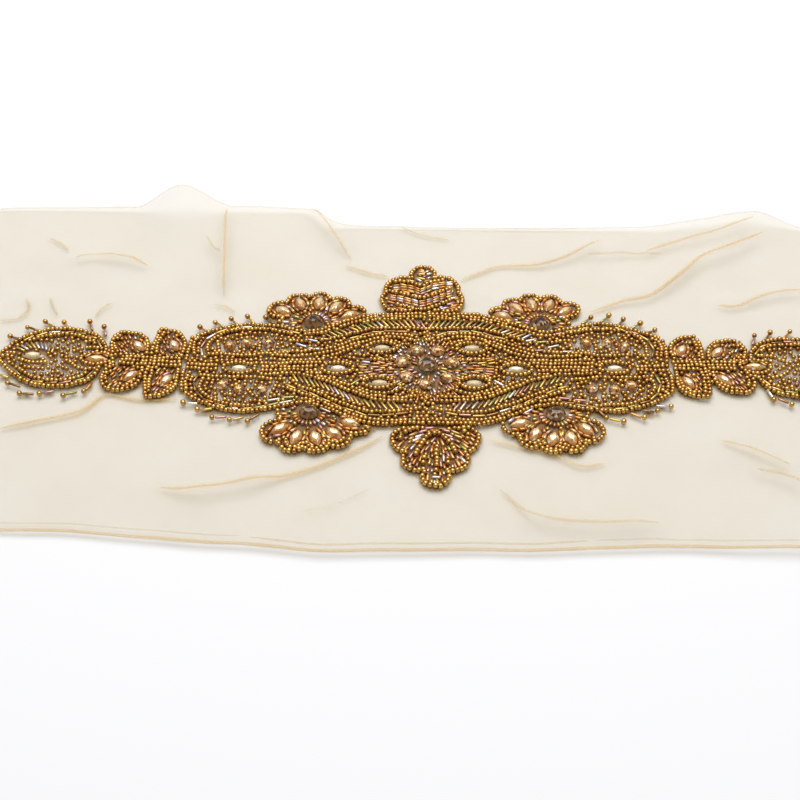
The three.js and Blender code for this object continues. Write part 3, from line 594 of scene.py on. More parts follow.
class Sewing:
    """Beads and tubes of one motif. Rows are given for the quarter of the belt where x and y are
    positive, in mm from its axis. They go down on the quarter that is faced, moved with the lie of
    the belt, and what would sit on top of something already sewn is left off."""

    def __init__(self, seed, sx=1, sy=1):
        self.chance = np.random.default_rng(seed)
        self.beads, self.tubes, self.taken = [], [], [np.zeros((0, 3))]
        self.face(sx, sy)

    def face(self, sx, sy):
        self.flip = np.array([sx, sy], float)

    def down(self, at):
        at = np.asarray(at, float) * self.flip
        return at + np.stack([0 * at[..., 0], eased(LIE, at[..., 0], 1)], -1)

    def up(self, node):
        """The other way: from the middle of a solid on the belt to its place on the drawn quarter."""
        spot = middle_of(node)
        return (spot - (0, eased(LIE, spot[0], 1))) * self.flip

    def free(self, at, room):
        """Whether nothing sewn before comes nearer to each spot than `room` past its own reach."""
        taken, clear = np.vstack(self.taken), np.ones(len(at), bool)
        for part in np.array_split(np.arange(len(at)), len(at) // 400 + 1):
            gap = np.hypot(at[part, None, 0] - taken[:, 0], at[part, None, 1] - taken[:, 1]) - taken[:, 2]
            clear[part] = gap.min(1, initial=9) > room
        return clear

    def hold(self, node, turn=0):
        """Keeps the place of a stone clear: a chain of round spots along it."""
        half_length, half_width = STONE_SIZES["_".join(node.split("_")[:2])]
        t = np.linspace(-0.85, 0.85, 9)
        spots = middle_of(node) + t[:, None] * half_length * ray(np.radians(turn))
        self.taken.append(np.column_stack([spots, half_width * (1 - 0.85 * t ** 2)]))

    def keep(self, at, reach):
        self.taken.append(np.column_stack([at, np.full(len(at), reach)]))

    def beads_at(self, at, way, room, height=0.0, size=1.0, tone=1.0):
        at, way = self.down(at), way * self.flip
        spare = self.free(at, room)
        at, way = at[spare], way[spare]
        count = len(at)
        turn = np.arctan2(way[:, 1], way[:, 0]) + self.chance.normal(0, BEAD_SWING, count)
        self.beads.append(np.column_stack([
            at, BEAD_Z + height + self.chance.uniform(0, BEAD_LIFT, count), turn,
            size * self.chance.normal(1, BEAD_SIZES, count),
            self.chance.normal(tone, BEAD_TONES, count)]))
        self.keep(at, BEAD_REACH)

    def row(self, points, closed=False, smooth=True, room=0.6, height=0.0, size=1.0):
        """Beads side by side on a thread through the points. The thread wanders a little to each side,
        by two sines of different lengths."""
        curve = smooth_curve(points, closed) if smooth else points
        at, way, _ = spaced(curve, BEAD_PITCH * size, 0.5 if closed else self.chance.uniform(0.3, 0.8))
        k, (slow, quick) = np.arange(len(at)), self.chance.uniform(0, 2 * np.pi, 2)
        wander = WANDER[0] * np.sin(k / 3 + slow) + WANDER[1] * np.sin(k / 1.3 + quick)
        at = at + wander[:, None] * aside(way) + self.chance.normal(0, WANDER[2], at.shape)
        self.beads_at(at, way, room, height, size)

    def ring(self, node, size, **how):
        """A closed row of beads round a pointed oval stone."""
        self.row(pointed_oval(*self.up(node), *size), closed=True, room=0.3, **how)

    def tubes_at(self, at, way, mix, length, room=0.25, height=0.0, radius=TUBE_RADIUS):
        at, way = self.down(at), unit(way * self.flip)
        steps = np.linspace(-TUBE_SPAN, TUBE_SPAN, 4)
        chain = at[:, None] + (length * steps)[:, None] * way[:, None]
        spare = self.free(chain.reshape(-1, 2), room).reshape(-1, 4).all(1)
        at, way, chain = at[spare], way[spare], chain[spare]
        count = len(at)
        turn = np.arctan2(way[:, 1], way[:, 0]) + self.chance.normal(0, TUBE_SWING, count)
        pick = self.chance.choice(len(TINTS), count, p=MIXES[mix])
        tint = TINTS[pick] * self.chance.uniform(*TUBE_TONES, (count, 1))
        self.tubes.append(np.column_stack([
            at, TUBE_Z + height + self.chance.uniform(0, TUBE_LIFT, count), turn,
            self.chance.normal(0, TUBE_SWING, count), length * self.chance.uniform(*TUBE_SIZES, count),
            np.full(count, radius), tint]))
        self.keep(chain.reshape(-1, 2), radius)

    def line(self, points, mix="line", length=TUBE_LENGTH, smooth=True, **how):
        """Tubes end to end through the points."""
        at, way, _ = spaced(smooth_curve(points) if smooth else points, length + TUBE_GAP)
        self.tubes_at(at, way, mix, length, **how)

    def ladder(self, points, leans, pitch, length=TUBE_LENGTH):
        """Tubes side by side through the points, their direction in degrees running from the first
        lean to the last."""
        at, _, share = spaced(smooth_curve(points), pitch)
        lean = np.radians(leans[0] + (leans[1] - leans[0]) * share)
        self.tubes_at(at, ray(lean), "ladder", length, room=-0.3)

    # Single tubes at given spots, tinted pale as painted glints.
    def singles(self, rows, length=TUBE_LENGTH):
        x, y, lean = np.array(rows, float).T
        self.tubes_at(np.stack([x, y], 1), ray(np.radians(lean)), "pale_glint", length, room=-0.2)

    def collar(self, middle, way, places, length, room):
        """Short warm tubes on both sides of a stone. A place says how far out along the stone a tube
        lies, how far out from its middle line, and how it bends."""
        across = aside(way)
        for hand in (1, -1):
            for out, off, bend in places:
                at, along = middle + out * way + hand * off * across, way + hand * bend * across
                self.tubes_at(at[None], along[None], "warm", length, room, radius=SHORT_RADIUS)

    def fill(self, inside, box, share=1.0, passes=9, tubes=(0,), heading=None, mix="warm", apart=1.85,
             radius=TUBE_RADIUS):
        """Single beads, or short tubes of each length along a heading, wherever there is room for one
        inside. Each pass tries new spots, one in every cell of a box that is given as its low x, low
        y, high x and high y. Of two that would be too near, the first drawn stays."""
        low, high = np.array(box[:2]), np.array(box[2:])
        cells = np.maximum(((high - low) / FILL_STEP).astype(int), 1)
        grid = np.stack(np.meshgrid(*map(np.arange, cells), indexing="ij"), -1).reshape(-1, 2)
        for tube in np.repeat(tubes, passes):
            at = low + (grid + self.chance.uniform(0, 1, grid.shape)) * FILL_STEP
            at = at[inside(at)]
            if callable(share) or share < 1:
                chosen = share(at) if callable(share) else share
                at = at[self.chance.uniform(0, 1, len(at)) < chosen]
            self.chance.shuffle(at)
            way = heading(at) if tube else np.tile((1.0, 0.0), (len(at), 1))
            room, long, wide = apart - FILL_BEAD_REACH, apart, apart
            if tube:
                room, long, wide = FILL_TUBE_ROOM, tube + TUBE_GAP, FILL_TUBE_WIDE
            ends = at[:, None] + (np.array([-TUBE_SPAN, 0, TUBE_SPAN]) * tube)[:, None] * way[:, None]
            spare = self.free(self.down(ends.reshape(-1, 2)), room).reshape(-1, 3).all(1)
            at, way = at[spare], way[spare]
            gap = at[:, None] - at[None]
            along, across = (gap * way[:, None]).sum(-1), (gap * aside(way)[:, None]).sum(-1)
            first = ~np.tril((along / long) ** 2 + (across / wide) ** 2 < 1, -1).any(1)
            if tube:
                self.tubes_at(at[first], way[first], mix, tube, room=0.4, height=FILL_SINK, radius=radius)
            else:
                turn = self.chance.uniform(0, np.pi, first.sum())
                # Painted shade: the fill's beads get the lower tone.
                self.beads_at(at[first], ray(turn), room=0.75, height=FILL_SINK, tone=FILL_SHADE_TONE)


def bronze_shade():
    """Metallic bronze coating on glass beads: a warm mirror, a little duller and darker on some at
    random, and the beads of the fill darker still as painted shade.
    """
    shade = Shade("bronze beads", **{"Metallic": 1.0, "Coat Weight": 0.4, "Coat Roughness": 0.08,
                                     "Specular Tint": (0.85, 0.38, 0.10, 1)})
    tone = shade.attribute("tone")
    worn = shade.noise(900.0, 2.0)
    base = shade.mix((tone * 0.6).clamped(), (0.27, 0.10, 0.008, 1), (0.84, 0.54, 0.155, 1))
    shade.set(Base_Color=shade.mix((worn * 0.3).clamped(), base, (0.45, 0.18, 0.02, 1)))
    shade.set(Roughness=worn * 0.16 + 0.19)
    return shade.material


def tube_shade():
    """Coated glass tubes: each its own tint, under a glossy surface. A painted iridescent sheen turns
    it pinker in patches along its length."""
    shade = Shade("coated tubes", **{"Metallic": 0.65, "Coat Weight": 0.5, "Coat Roughness": 0.05})
    tint = shade.attribute("tint", "Color")
    # Painted sheen: a noise along the tube mixes in a pink, for the colour play of the coating in the
    # light.
    turn = shade.noise(420.0, 1.0)
    painted_sheen = shade.mix((turn * 2.2 - 1.15).clamped(), tint, (0.62, 0.42, 0.40, 1))
    shade.set(Base_Color=painted_sheen, Roughness=turn * 0.12 + 0.08)
    return shade.material


BRONZE, COATED = bronze_shade(), tube_shade()
BEAD_SHAPE, TUBE_SHAPE = turned(BEAD_PROFILE, 8), turned(TUBE_PROFILE, 8)
sewn_spots = []


def sewn(name, sewing, *nodes):
    """The beads and the tubes of one motif as two joined meshes, in place of its solids."""
    sewn_spots.append(np.vstack(sewing.taken)[:, :2])
    beads = np.vstack(sewing.beads)
    turn, size, tone = beads[:, 3:].T
    verts, faces = copies(BEAD_SHAPE, beads[:, :3], np.column_stack([ray(turn), 0 * turn]), size[:, None])
    tone = np.repeat(tone, len(BEAD_SHAPE[0]))
    put(new_mesh(f"beads_{name}", verts, faces, values=[("tone", tone)]), BRONZE, "bronze_beads", *nodes)
    if sewing.tubes:
        tubes = np.vstack(sewing.tubes)
        turn, tip, length, radius = tubes[:, 3:7].T
        along = np.column_stack([ray(turn) * np.cos(tip)[:, None], np.sin(tip)])
        verts, faces = copies(TUBE_SHAPE, tubes[:, :3], along, np.stack([length, radius, radius], 1))
        tint = np.repeat(np.column_stack([tubes[:, 7:], np.ones(len(tubes))]), len(TUBE_SHAPE[0]), 0)
        put(new_mesh(f"tubes_{name}", verts, faces, values=[("tint", tint)]), COATED, "bugles", *nodes)


panel_edge = smooth_curve(PANEL_EDGE)
on_lobe = (panel_edge[:, 0] > 58) & (panel_edge[:, 0] < 94)
lobe_line = np.vstack([inset(panel_edge, LINE_IN)[on_lobe], LOBE_LINE_END])


def panel_reach(x):
    """How far the panel's edge is from the axis at x."""
    return np.interp(np.abs(x), *panel_edge.T)


def open_panel(at):
    """Inside the panel's rim, but not in the brooch or among the tubes on both sides of it."""
    x, y = at.T
    away = np.hypot(x, y)
    return (y < panel_reach(x) - 1.0) & ((away > 31) | (y > 6.5) & (away > 17))


def panel_share(at):
    """Share of the spots that get a bead: fewer round the stones of the lobes."""
    x, y = at.T
    return np.where((x > 62) & (x < 99) & (y > 9.5), 0.3, 0.6)


for side, sx in SIDES.items():
    sew = Sewing(11 + sx)
    sew.taken.append(np.array([(0, LIE_AT_BROOCH, BROOCH_CLEAR)]))
    for place in ("inner", "outer", "far", "near"):
        sew.hold(f"clear_navette_{place}_{side}")
    for row, sy in ROWS.items():
        sew.face(sx, sy)
        sew.keep(sew.down(LOBE_STONES), LOBE_STONE_RADIUS)
        sew.row(inset(panel_edge, RIM_IN), smooth=False)
        sew.ring(f"clear_navette_{row}_{side}", PANEL_RING, height=0.5)
    sew.face(sx, 1)
    for place in ("inner", "outer"):
        sew.ring(f"clear_navette_{place}_{side}", AXIS_RING, height=0.5)
    for row, sy in ROWS.items():
        sew.face(sx, sy)
        line, ladder, leans, pitch, singles = PANEL_TUBES[row]
        sew.line(line)
        sew.line(lobe_line, room=0.1)
        sew.ladder(ladder, leans, pitch)
        sew.singles(singles)
    for row, sy in ROWS.items():
        sew.face(sx, sy)
        for points in PANEL_ROWS + (FAR_ROWS if row == "far" else NEAR_ROWS):
            sew.row(points, room=0.45)
        sew.row(inset(panel_edge[panel_edge[:, 0] < 56], SECOND_IN), smooth=False, room=0.45)
    for sy in ROWS.values():
        sew.face(sx, sy)
        sew.fill(open_panel, PANEL_BOX, share=panel_share, apart=PANEL_APART)
    sewn(f"panel_{side}", sew, "centre_panel")

# ---- Shells --------------------------------------------------------------------------------
# A scallop shell of beads stands on each side of the panel at its middle: V-shaped rows on the far
# one, nested arches on the near one, and amber tubes packed between the rows.
SHELL_CENTRE, SHELL_FOOT = 50.0, 37.3
LOBE_CUTS = 360
SHELL_BOX, SHELL_TUBES, VEE_TUBES = (22, 37, 74), (4.2, 2.6, 1.8), (2.3, 4.0, 5.7)
# The tubes tried first are tinted pale as painted glints.
GLINT_SHARE = 0.04  # of the spots between the rows, where a bright tube is tried first
SHELLS = {  # middle x, and the x, y and radius of each lobe, the last four on both sides
    "far": (-2.5, [(0, 43, 8), (10.4, 46, 10), (8.9, 54.6, 9.7), (0, 65.3, 6.9)]),
    "near": (4, [(0, 43, 8), (10.4, 45, 8.8), (7.4, 56.4, 7.4), (0, 65.6, 6.4)])}
FAR_VEES = [
    [(-17, 59.5), (-13, 60), (-9, 59.3), (-6, 58), (-3.3, 56.6), (-1, 57.8), (1.5, 59.6), (4.5, 61),
     (8.5, 62), (12.5, 62.3)],
    [(-18.5, 52.4), (-14.5, 51.6), (-10.5, 50.2), (-7, 48.8), (-4, 47.6), (-1, 48), (2.5, 50),
     (6, 52.2), (9.5, 54.4), (12, 56)],
    [(-15.5, 43.6), (-12, 42), (-8, 40.4), (-4.5, 39.3), (-1, 39.3), (2.5, 40.8), (6, 43), (9.3, 45),
     (12, 46.5)]]
NEAR_ARCHES = [
    [(4.4, 48.5), (4.4, 64)],
    [(-5, 55), (-3.9, 52), (-2.4, 49), (-0.6, 46), (1.5, 43), (4.2, 41.9), (6.8, 43), (9, 46), (11, 49),
     (12.8, 53.5)],
    [(-11.4, 45.4), (-9.6, 42.4), (-7.5, 40.7), (-5.2, 39.6), (-2.8, 38.8), (-0.6, 38.2)],
    [(9, 38.2), (11.6, 38.5), (13.8, 39.4), (16, 40.6), (17.6, 42.6), (17.3, 46)],
    [(-0.9, 54.8), (-1.5, 60)], [(8.9, 55), (9.2, 60)]]
# Tubes tinted pale as painted glints, where the shells catch the light.
SHELL_GLINTS = {  # x, y and direction of the brightest tubes
    "far": [(-4.5, 61.5, -45), (-2.3, 53.4, 40), (4, 57, 25), (-8.3, 52.8, -25), (12, 54, 85),
            (8, 40.5, 20), (-16.5, 39, -60)],
    "near": [(8.4, 40, 14), (13.6, 43.4, 24), (0.6, 49.8, -62), (-5.6, 49.3, -60), (4.2, 66.3, 0),
             (-10.8, 42.5, 85), (1.5, 57.5, -80), (7.3, 55.5, 85), (2.9, 45.6, -52)]}


def lobed(centre, lobes, shrink, start=0.0, stop=2 * np.pi):
    """Outline of overlapping round lobes seen from a centre: in each direction, the reach of the
    farthest lobe. Each is smaller by `shrink` all round."""
    way = ray(np.linspace(start, stop, LOBE_CUTS))
    offset = np.array([lobe[:2] for lobe in lobes]) - centre
    radius = np.array([lobe[2] for lobe in lobes]) - shrink
    inside = radius ** 2 - (way[:, :1] * offset[:, 1] - way[:, 1:] * offset[:, 0]) ** 2
    reach = np.where(inside > 0, way @ offset.T + np.sqrt(np.maximum(inside, 0)), 0).max(1)
    return centre + way * reach[:, None]


def within(outline):
    """Test of whether points lie inside a closed outline, by how often a line crosses it."""
    def inside(at):
        a, b = outline, np.roll(outline, -1, 0)
        y = at[:, 1:]
        crosses = (a[:, 1] > y) != (b[:, 1] > y)
        rise = np.where(b[:, 1] == a[:, 1], 1e-9, b[:, 1] - a[:, 1])
        x = a[:, 0] + (y - a[:, 1]) / rise * (b[:, 0] - a[:, 0])
        return (crosses & (at[:, :1] < x)).sum(1) % 2 == 1
    return inside


def level(at):
    """Directions of the far shell's tubes: nearly level, rising to each side of its middle."""
    return unit(np.stack([1 + 0 * at[:, 0], np.where(at[:, 0] < -2, -0.3, 0.5)], 1))


def spread(at):
    """Directions of the near shell's tubes: round its middle where they lie over the arches, and
    elsewhere out from its foot like a fan."""
    x0 = SHELLS["near"][0]
    over = (np.abs(at[:, 0] - x0) > 1.5 + 0.55 * (at[:, 1] - 42)) & (at[:, 1] < 52)
    return unit(np.where(over[:, None], aside(at - (x0, 58)), at - (x0, 34)))


for row, sy in ROWS.items():
    x0, half = SHELLS[row]
    lobes = np.array(half + [(-x, y, r) for x, y, r in half[1:]]) + (x0, 0, 0)
    centre = np.array([x0, SHELL_CENTRE])
    sew = Sewing(31 + sy, sy=sy)
    rim = np.roll(lobed(centre, lobes, 1.05), 90, 0)
    sew.row(rim[rim[:, 1] > SHELL_FOOT + 1.0], smooth=False, size=1.08)
    sew.singles(SHELL_GLINTS[row], 3.6)
    if row == "far":
        for points in FAR_VEES:
            sew.row(points, room=0.45, size=1.05)
        for points in FAR_VEES[:2]:
            for below in VEE_TUBES:
                sew.line(np.array(points) - (0, below), "fan", 3.4, room=-0.15, radius=0.65)
    else:
        for points in NEAR_ARCHES:
            sew.row(points, room=0.45, size=1.1, height=0.5)
    inside = within(lobed(centre, lobes, 1.4))
    bed = lambda at: inside(at) & (at[:, 1] > SHELL_FOOT + 0.6)
    half_width, low, high = SHELL_BOX
    box, heading = (x0 - half_width, low, x0 + half_width, high), level if row == "far" else spread
    # Short tubes tinted pale as painted glints.
    sew.fill(bed, box, GLINT_SHARE, 4, (1.8,), heading, "pale_glint")
    sew.fill(bed, box, tubes=SHELL_TUBES, heading=heading, mix="fan", radius=0.72)
    sew.fill(bed, box, passes=4)
    sewn(f"shell_{row}", sew, f"shell_{row}")

# ---- Flowers -------------------------------------------------------------------------------
# Four half flowers fan out from the panel's edge round a smoky stone. Each petal is a peach navette
# between curved pairs of short amber tubes, edged by a scalloped row of beads, and the petals on the
# near side have part of a second row.
FLOWER_Y, PETAL_RADIUS, FLOWER_HEART = 29.7, 6.2, 6.0
FLOWER_FOOT = (8.5, -1.0, 6.5)  # x, y and radius of the lobe on each side of the heart
PETALS = np.array([(34, 23), (67, 22), (100, 21.4), (132, 22.4), (162, 25)])  # direction, reach
FLOWERS = [  # row, side, x of the stone, x of the fan, and how wide and deep it is drawn
    ("far", "left", 53.6, 54.5, 1.09, 1.01), ("far", "right", 53, 52.2, 1.01, 1.0),
    ("near", "left", 50.9, 49.6, 1.09, 1.15), ("near", "right", 56, 56, 1.02, 1.12)]
FLOWER_RIMS = {  # how far in a row lies, its size of bead, and the y from which it is sewn
    "far": [(1.05, 1.08, 0)], "near": [(1.05, 1.08, 0), (2.9, 1.0, 44.7)]}
PETAL_STONE = (4.8, 2.75, 2.3)  # half length, half width and height of a petal's navette
PETAL_STONE_OUT = {"far": 0.92, "near": 0.86}
FLOWER_TUBES, SPOKE = (3.2, 2.2, 1.6), 6.3
PETAL_TUBES = [(-3.6, 2.5, 0.5), (-0.2, 3.5, 0), (3.2, 2.8, -0.5)]
petal_spots, petal_turns = [], []
for k, (row, side, stone_x, fan_x, wide, deep) in enumerate(FLOWERS):
    node, sx, sy = f"flower_stone_{row}_{side}", SIDES[side], ROWS[row]
    sew = Sewing(41 + k, sx, sy)
    sew.hold(node)
    heart, stretch = np.array([fan_x, FLOWER_Y]), np.array([wide, deep])
    spots = (PETALS[:, 1:] - PETAL_RADIUS) * ray(np.radians(PETALS[:, 0]))
    foot_x, foot_y, foot_radius = FLOWER_FOOT
    lobes = [(*spot, PETAL_RADIUS) for spot in spots] + [
        ((stone_x - fan_x) / wide, 0, FLOWER_HEART), (foot_x, foot_y, foot_radius),
        (-foot_x, foot_y, foot_radius)]
    for shrink, size, from_y in FLOWER_RIMS[row]:
        rim = heart + lobed(np.zeros(2), lobes, shrink, -0.5, np.pi + 0.5) * stretch
        above = (rim[:, 1] > panel_reach(rim[:, 0]) + 1.1) & (rim[:, 1] > from_y)
        sew.row(rim[above], smooth=False, size=size)
    own = sew.up(node)
    way = ray(np.arange(0.12, np.pi, 0.27))
    spoke = own + SPOKE * way
    clear = spoke[:, 1] > panel_reach(spoke[:, 0]) + 1.4
    sew.tubes_at(spoke[clear], way[clear], "fan", 2.4, room=-0.9, radius=SHORT_RADIUS)
    petals = heart + spots * stretch * PETAL_STONE_OUT[row]
    lean = np.arctan2(*(petals - own).T[::-1]) + sew.chance.normal(0, 0.1, len(petals))
    t = np.linspace(-0.8, 0.8, 7)
    for spot, way in zip(petals, ray(lean)):
        petal_spots.append(sew.down(spot))
        petal_turns.append(np.degrees(np.arctan2(way[1] * sy, way[0] * sx)))
        sew.taken.append(np.column_stack([sew.down(spot + t[:, None] * PETAL_STONE[0] * way),
                                          PETAL_STONE[1] * (1 - 0.6 * t ** 2)]))
        sew.collar(spot, way, PETAL_TUBES, 3.3, -0.6)
    inside = within(heart + lobed(np.zeros(2), lobes, 1.5) * stretch)
    bed = lambda at: inside(at) & (at[:, 1] > panel_reach(at[:, 0]) + 0.9)
    off_stone = lambda at: bed(at) & (np.hypot(*(at - own).T) > 5.2)
    fan = lambda at: unit(at - own)
    box = (fan_x - 30, FLOWER_Y - 8, fan_x + 30, FLOWER_Y + 30)
    # Short tubes tinted pale as painted glints.
    sew.fill(bed, box, GLINT_SHARE, 4, (1.6,), fan, "pale_glint")
    sew.fill(off_stone, box, tubes=FLOWER_TUBES, heading=fan, radius=SHORT_RADIUS)
    sew.fill(bed, box, passes=3)
    sewn(f"flower_{row}_{side}", sew, f"flower_{row}_{side}")

# ---- Stems and leaves ----------------------------------------------------------------------
# A stem of beads runs on from each end of the panel, with two pairs of leaves. A leaf is a rim of
# beads and a peach navette between amber tubes.
STEM = (110.3, 140.2)
LEAVES = [  # place, inner and outer foot, tip, bulge of each side, direction of the stone
    ("inner", 111.2, 126.3, (124.5, 23.2), (107, 24.6), (127.2, 14), 66),
    ("outer", 127.2, 143.8, (142.3, 19.8), (125.5, 23), (150, 12), 58)]
LEAF_FOOT, LEAF_CUTS = 3.4, 24
LEAF_DEEP = {"left": 1, "right": 0.87}
LEAF_BULGE = {"far": 0.9, "near": 1}  # how much of the inner side's bulge is drawn
LEAF_TUBES = [(-3.3, 2.2, 0.5), (0, 3.1, 0), (3.3, 2.2, -0.5)]
LEAF_GAP = 126.5  # x of the notch between two leaves
STEM_BOX, STEM_ROWS = (110.5, 2.6, 143.5, 12), (-2.1, 0, 2.1)


def arch(start, bulge, stop, deep):
    """Curve from start to stop drawn toward a bulge: a quadratic Bezier, its height over the leaf's
    foot multiplied by `deep`."""
    t = np.linspace(0, 1, LEAF_CUTS)[:, None]
    curve = (1 - t) ** 2 * np.array(start) + 2 * t * (1 - t) * np.array(bulge) + t ** 2 * np.array(stop)
    return (curve - (0, LEAF_FOOT)) * (1, deep) + (0, LEAF_FOOT)


def leaf_sides(leaf, row, side):
    """Two curves of a leaf: from its inner foot up to the tip, and down to its outer foot."""
    _, inner, outer, tip, (bulge_x, bulge_y), out_bulge, _ = leaf
    return (arch((inner, LEAF_FOOT), (bulge_x, bulge_y * LEAF_BULGE[row]), tip, LEAF_DEEP[side]),
            arch(tip, out_bulge, (outer, LEAF_FOOT), LEAF_DEEP[side]))


for side, sx in SIDES.items():
    sew = Sewing(61 + sx)
    for row, sy in ROWS.items():
        sew.face(sx, sy)
        for leaf in LEAVES:
            place, *_, turn = leaf
            node = f"leaf_navette_{place}_{row}_{side}"
            sew.hold(node, turn * sx * sy)
            rising, falling = leaf_sides(leaf, row, side)
            for curve in (rising, falling):
                sew.row(inset(curve, 1.0), smooth=False, room=0.5, size=1.05)
            sew.row(inset(falling, 2.9)[3:-2], smooth=False, room=0.5)
            if row == "near":
                sew.row(inset(rising, 2.9)[4:-3], smooth=False, room=0.5)
            sew.collar(sew.up(node), ray(np.radians(turn)), LEAF_TUBES, 3.2, -0.4)
    sew.face(sx, 1)
    for y in STEM_ROWS:
        sew.row([(STEM[0] + 0.6, y), (118, y * 1.1), (126, y * 0.9), (134, y * 1.1), (STEM[1] - 0.6, y)])
    for row, sy in ROWS.items():
        sew.face(sx, sy)
        for leaf in LEAVES:
            _, inner, outer, *_, turn = leaf
            inside = within(np.vstack(leaf_sides(leaf, row, side)))
            box = (inner - 2, 3, outer + 2, 24)
            sew.fill(lambda at: inside(at) & (at[:, 1] > 5), box, passes=4, tubes=(2.8, 1.8),
                     heading=lambda at: np.tile(ray(np.radians(turn)), (len(at), 1)))
            sew.fill(inside, box, passes=5)
        sew.fill(lambda at: at[:, 1] < 4.4 + 8 * np.exp(-((at[:, 0] - LEAF_GAP) / 1.6) ** 2),
                 STEM_BOX, passes=5)
    leaves = [f"leaf_{place}_{row}_{side}" for place in ("inner", "outer") for row in ROWS]
    sewn(f"stem_{side}", sew, f"stem_{side}", *leaves)

# ---- Eye motifs ----------------------------------------------------------------------------
# Beyond the leaves comes an eye-shaped motif: two rims of beads with a line of tubes between, a
# peach and a milky navette on its axis, and single beads on open net.
EYE_EDGE = [(140.5, 0), (145.5, 4), (147.9, 10.8), (153.5, 16.8), (165.5, 19.9), (178.5, 18),
            (189.5, 10.4), (196.5, 0)]
EYE_ROWS = [[(141.9, 1.5), (146.1, 5.6), (149.5, 7), (154, 7.4), (158.5, 6), (162, 3)],
            [(149.5, 9.6), (154, 11), (158, 10.4)], [(187.5, 1.2), (194.5, 1)]]
EYE_MORE = {"far": [], "near": [[(172, 3.4), (176, 4.6), (181, 4.6), (186, 3)],
                                [(170, 7), (175, 8.4), (180, 8)]]}
EYE_LADDER = [(170.5, 4.4), (173.5, 6), (178, 7), (183, 6.2), (187, 3.4)]
EYE_PEACH_RING, EYE_PEACH_LINE = (7.2, 4.2), (5.6, 3.2)
EYE_HOOK = 150  # x up to which beads lie close, in the narrow inner end
EYE_BOXES = (140.5, 0, EYE_HOOK, 14), (149, 0, 196.5, 20)
eye = smooth_curve(EYE_EDGE)
in_eye = within(np.vstack([eye, (140.5, -1)]))
for side, sx in SIDES.items():
    sew = Sewing(71 + sx, sx)
    for kind in ("peach", "milky"):
        sew.hold(f"eye_navette_{kind}_{side}")
    sew.ring(f"eye_navette_peach_{side}", EYE_PEACH_RING)
    x, y = sew.up(f"eye_navette_peach_{side}")
    sew.line(pointed_oval(x, y + 0.2, *EYE_PEACH_LINE)[2:22], "warm", 3.2, smooth=False, room=-0.6)
    sew.ladder(EYE_LADDER, (96, 22), 2.0, 4.6)
    for row, sy in ROWS.items():
        sew.face(sx, sy)
        sew.row(inset(eye, 1.0), smooth=False, size=1.05)
        sew.line(inset(eye, 2.9)[26:-18], smooth=False, room=0.0)
        sew.row(inset(eye, 4.7)[34:-20], smooth=False, room=0.5)
        for points in EYE_ROWS + EYE_MORE[row]:
            sew.row(points)
    for sy in ROWS.values():
        sew.face(sx, sy)
        sew.fill(lambda at: in_eye(at) & (at[:, 0] < EYE_HOOK), EYE_BOXES[0], passes=7)
        sew.fill(in_eye, EYE_BOXES[1], passes=7, apart=2.25)
    sewn(f"eye_{side}", sew, f"eye_motif_{side}")

# ---- End leaves ----------------------------------------------------------------------------
# Each end of the beadwork closes with one plain leaf: a rim of beads, a vein of tubes and beads
# between them.
END_LEAF = (196.9, 25.0, 7.0)  # start, length and half width
t = np.linspace(0, 1, 80)
end_leaf = np.stack([END_LEAF[0] + END_LEAF[1] * t, END_LEAF[2] * np.sin(np.pi * t) ** 0.8], 1)
for side, sx in SIDES.items():
    sew = Sewing(81 + sx, sx)
    sew.line([(199.5, 0), (219.5, 0)], "warm")
    for sy in ROWS.values():
        sew.face(sx, sy)
        sew.row(inset(end_leaf, 1.0)[3:-3], smooth=False)
        sew.fill(within(end_leaf), (196.5, 0.6, 221.5, 7), passes=6)
    sewn(f"end_leaf_{side}", sew, f"end_leaf_{side}")

# ---- Spike fringe --------------------------------------------------------------------------
# Spikes stand out from the rims of the panel's outer lobes and of the eyes. Each is a thread sewn
# through one slim tube and a bead at its tip, all leaning toward the belt's ends.
SPIKE_LENGTH, SPIKE_MIDDLE, SPIKE_TUBE = 6.6, 0.58, 0.76  # and its tube's middle and length in it
SPIKES = {  # x and y of the bead at the tip, and the direction in degrees, far and near
    "lobe": [(77, 33.2, 42, 40), (85, 34, 48, 14), (92.8, 32.4, 46, 14), (99.8, 28.6, 36, 8),
             (106, 24.4, 26, 0)],
    "eye": [(151, 21, 68, 74), (159.5, 24, 56, 30), (169.5, 24.4, 48, 14), (179.5, 23.6, 40, 0),
            (187, 18.4, 22, -12), (193.5, 13, 12, -20)]}
for motif, tips in SPIKES.items():
    x, y, far_lean, near_lean = np.array(tips, float).T
    for row, sy in ROWS.items():
        lean = far_lean if row == "far" else near_lean
        for side, sx in SIDES.items():
            sew = Sewing(91 + len(motif) * 4 + 2 * sx + sy, sx, sy)
            way = ray(np.radians(lean + sew.chance.normal(0, 6, len(tips))))
            tip = np.stack([x, y], 1) + sew.chance.normal(0, 0.5, (len(tips), 2))
            sew.tubes_at(tip - way * SPIKE_LENGTH * SPIKE_MIDDLE, way, "line",
                         SPIKE_LENGTH * SPIKE_TUBE, -5, radius=0.6)
            sew.beads_at(tip, way, -5, size=1.1)
            sewn(f"spikes_{motif}_{row}_{side}", sew, f"fringe_{motif}_{row}_{side}")

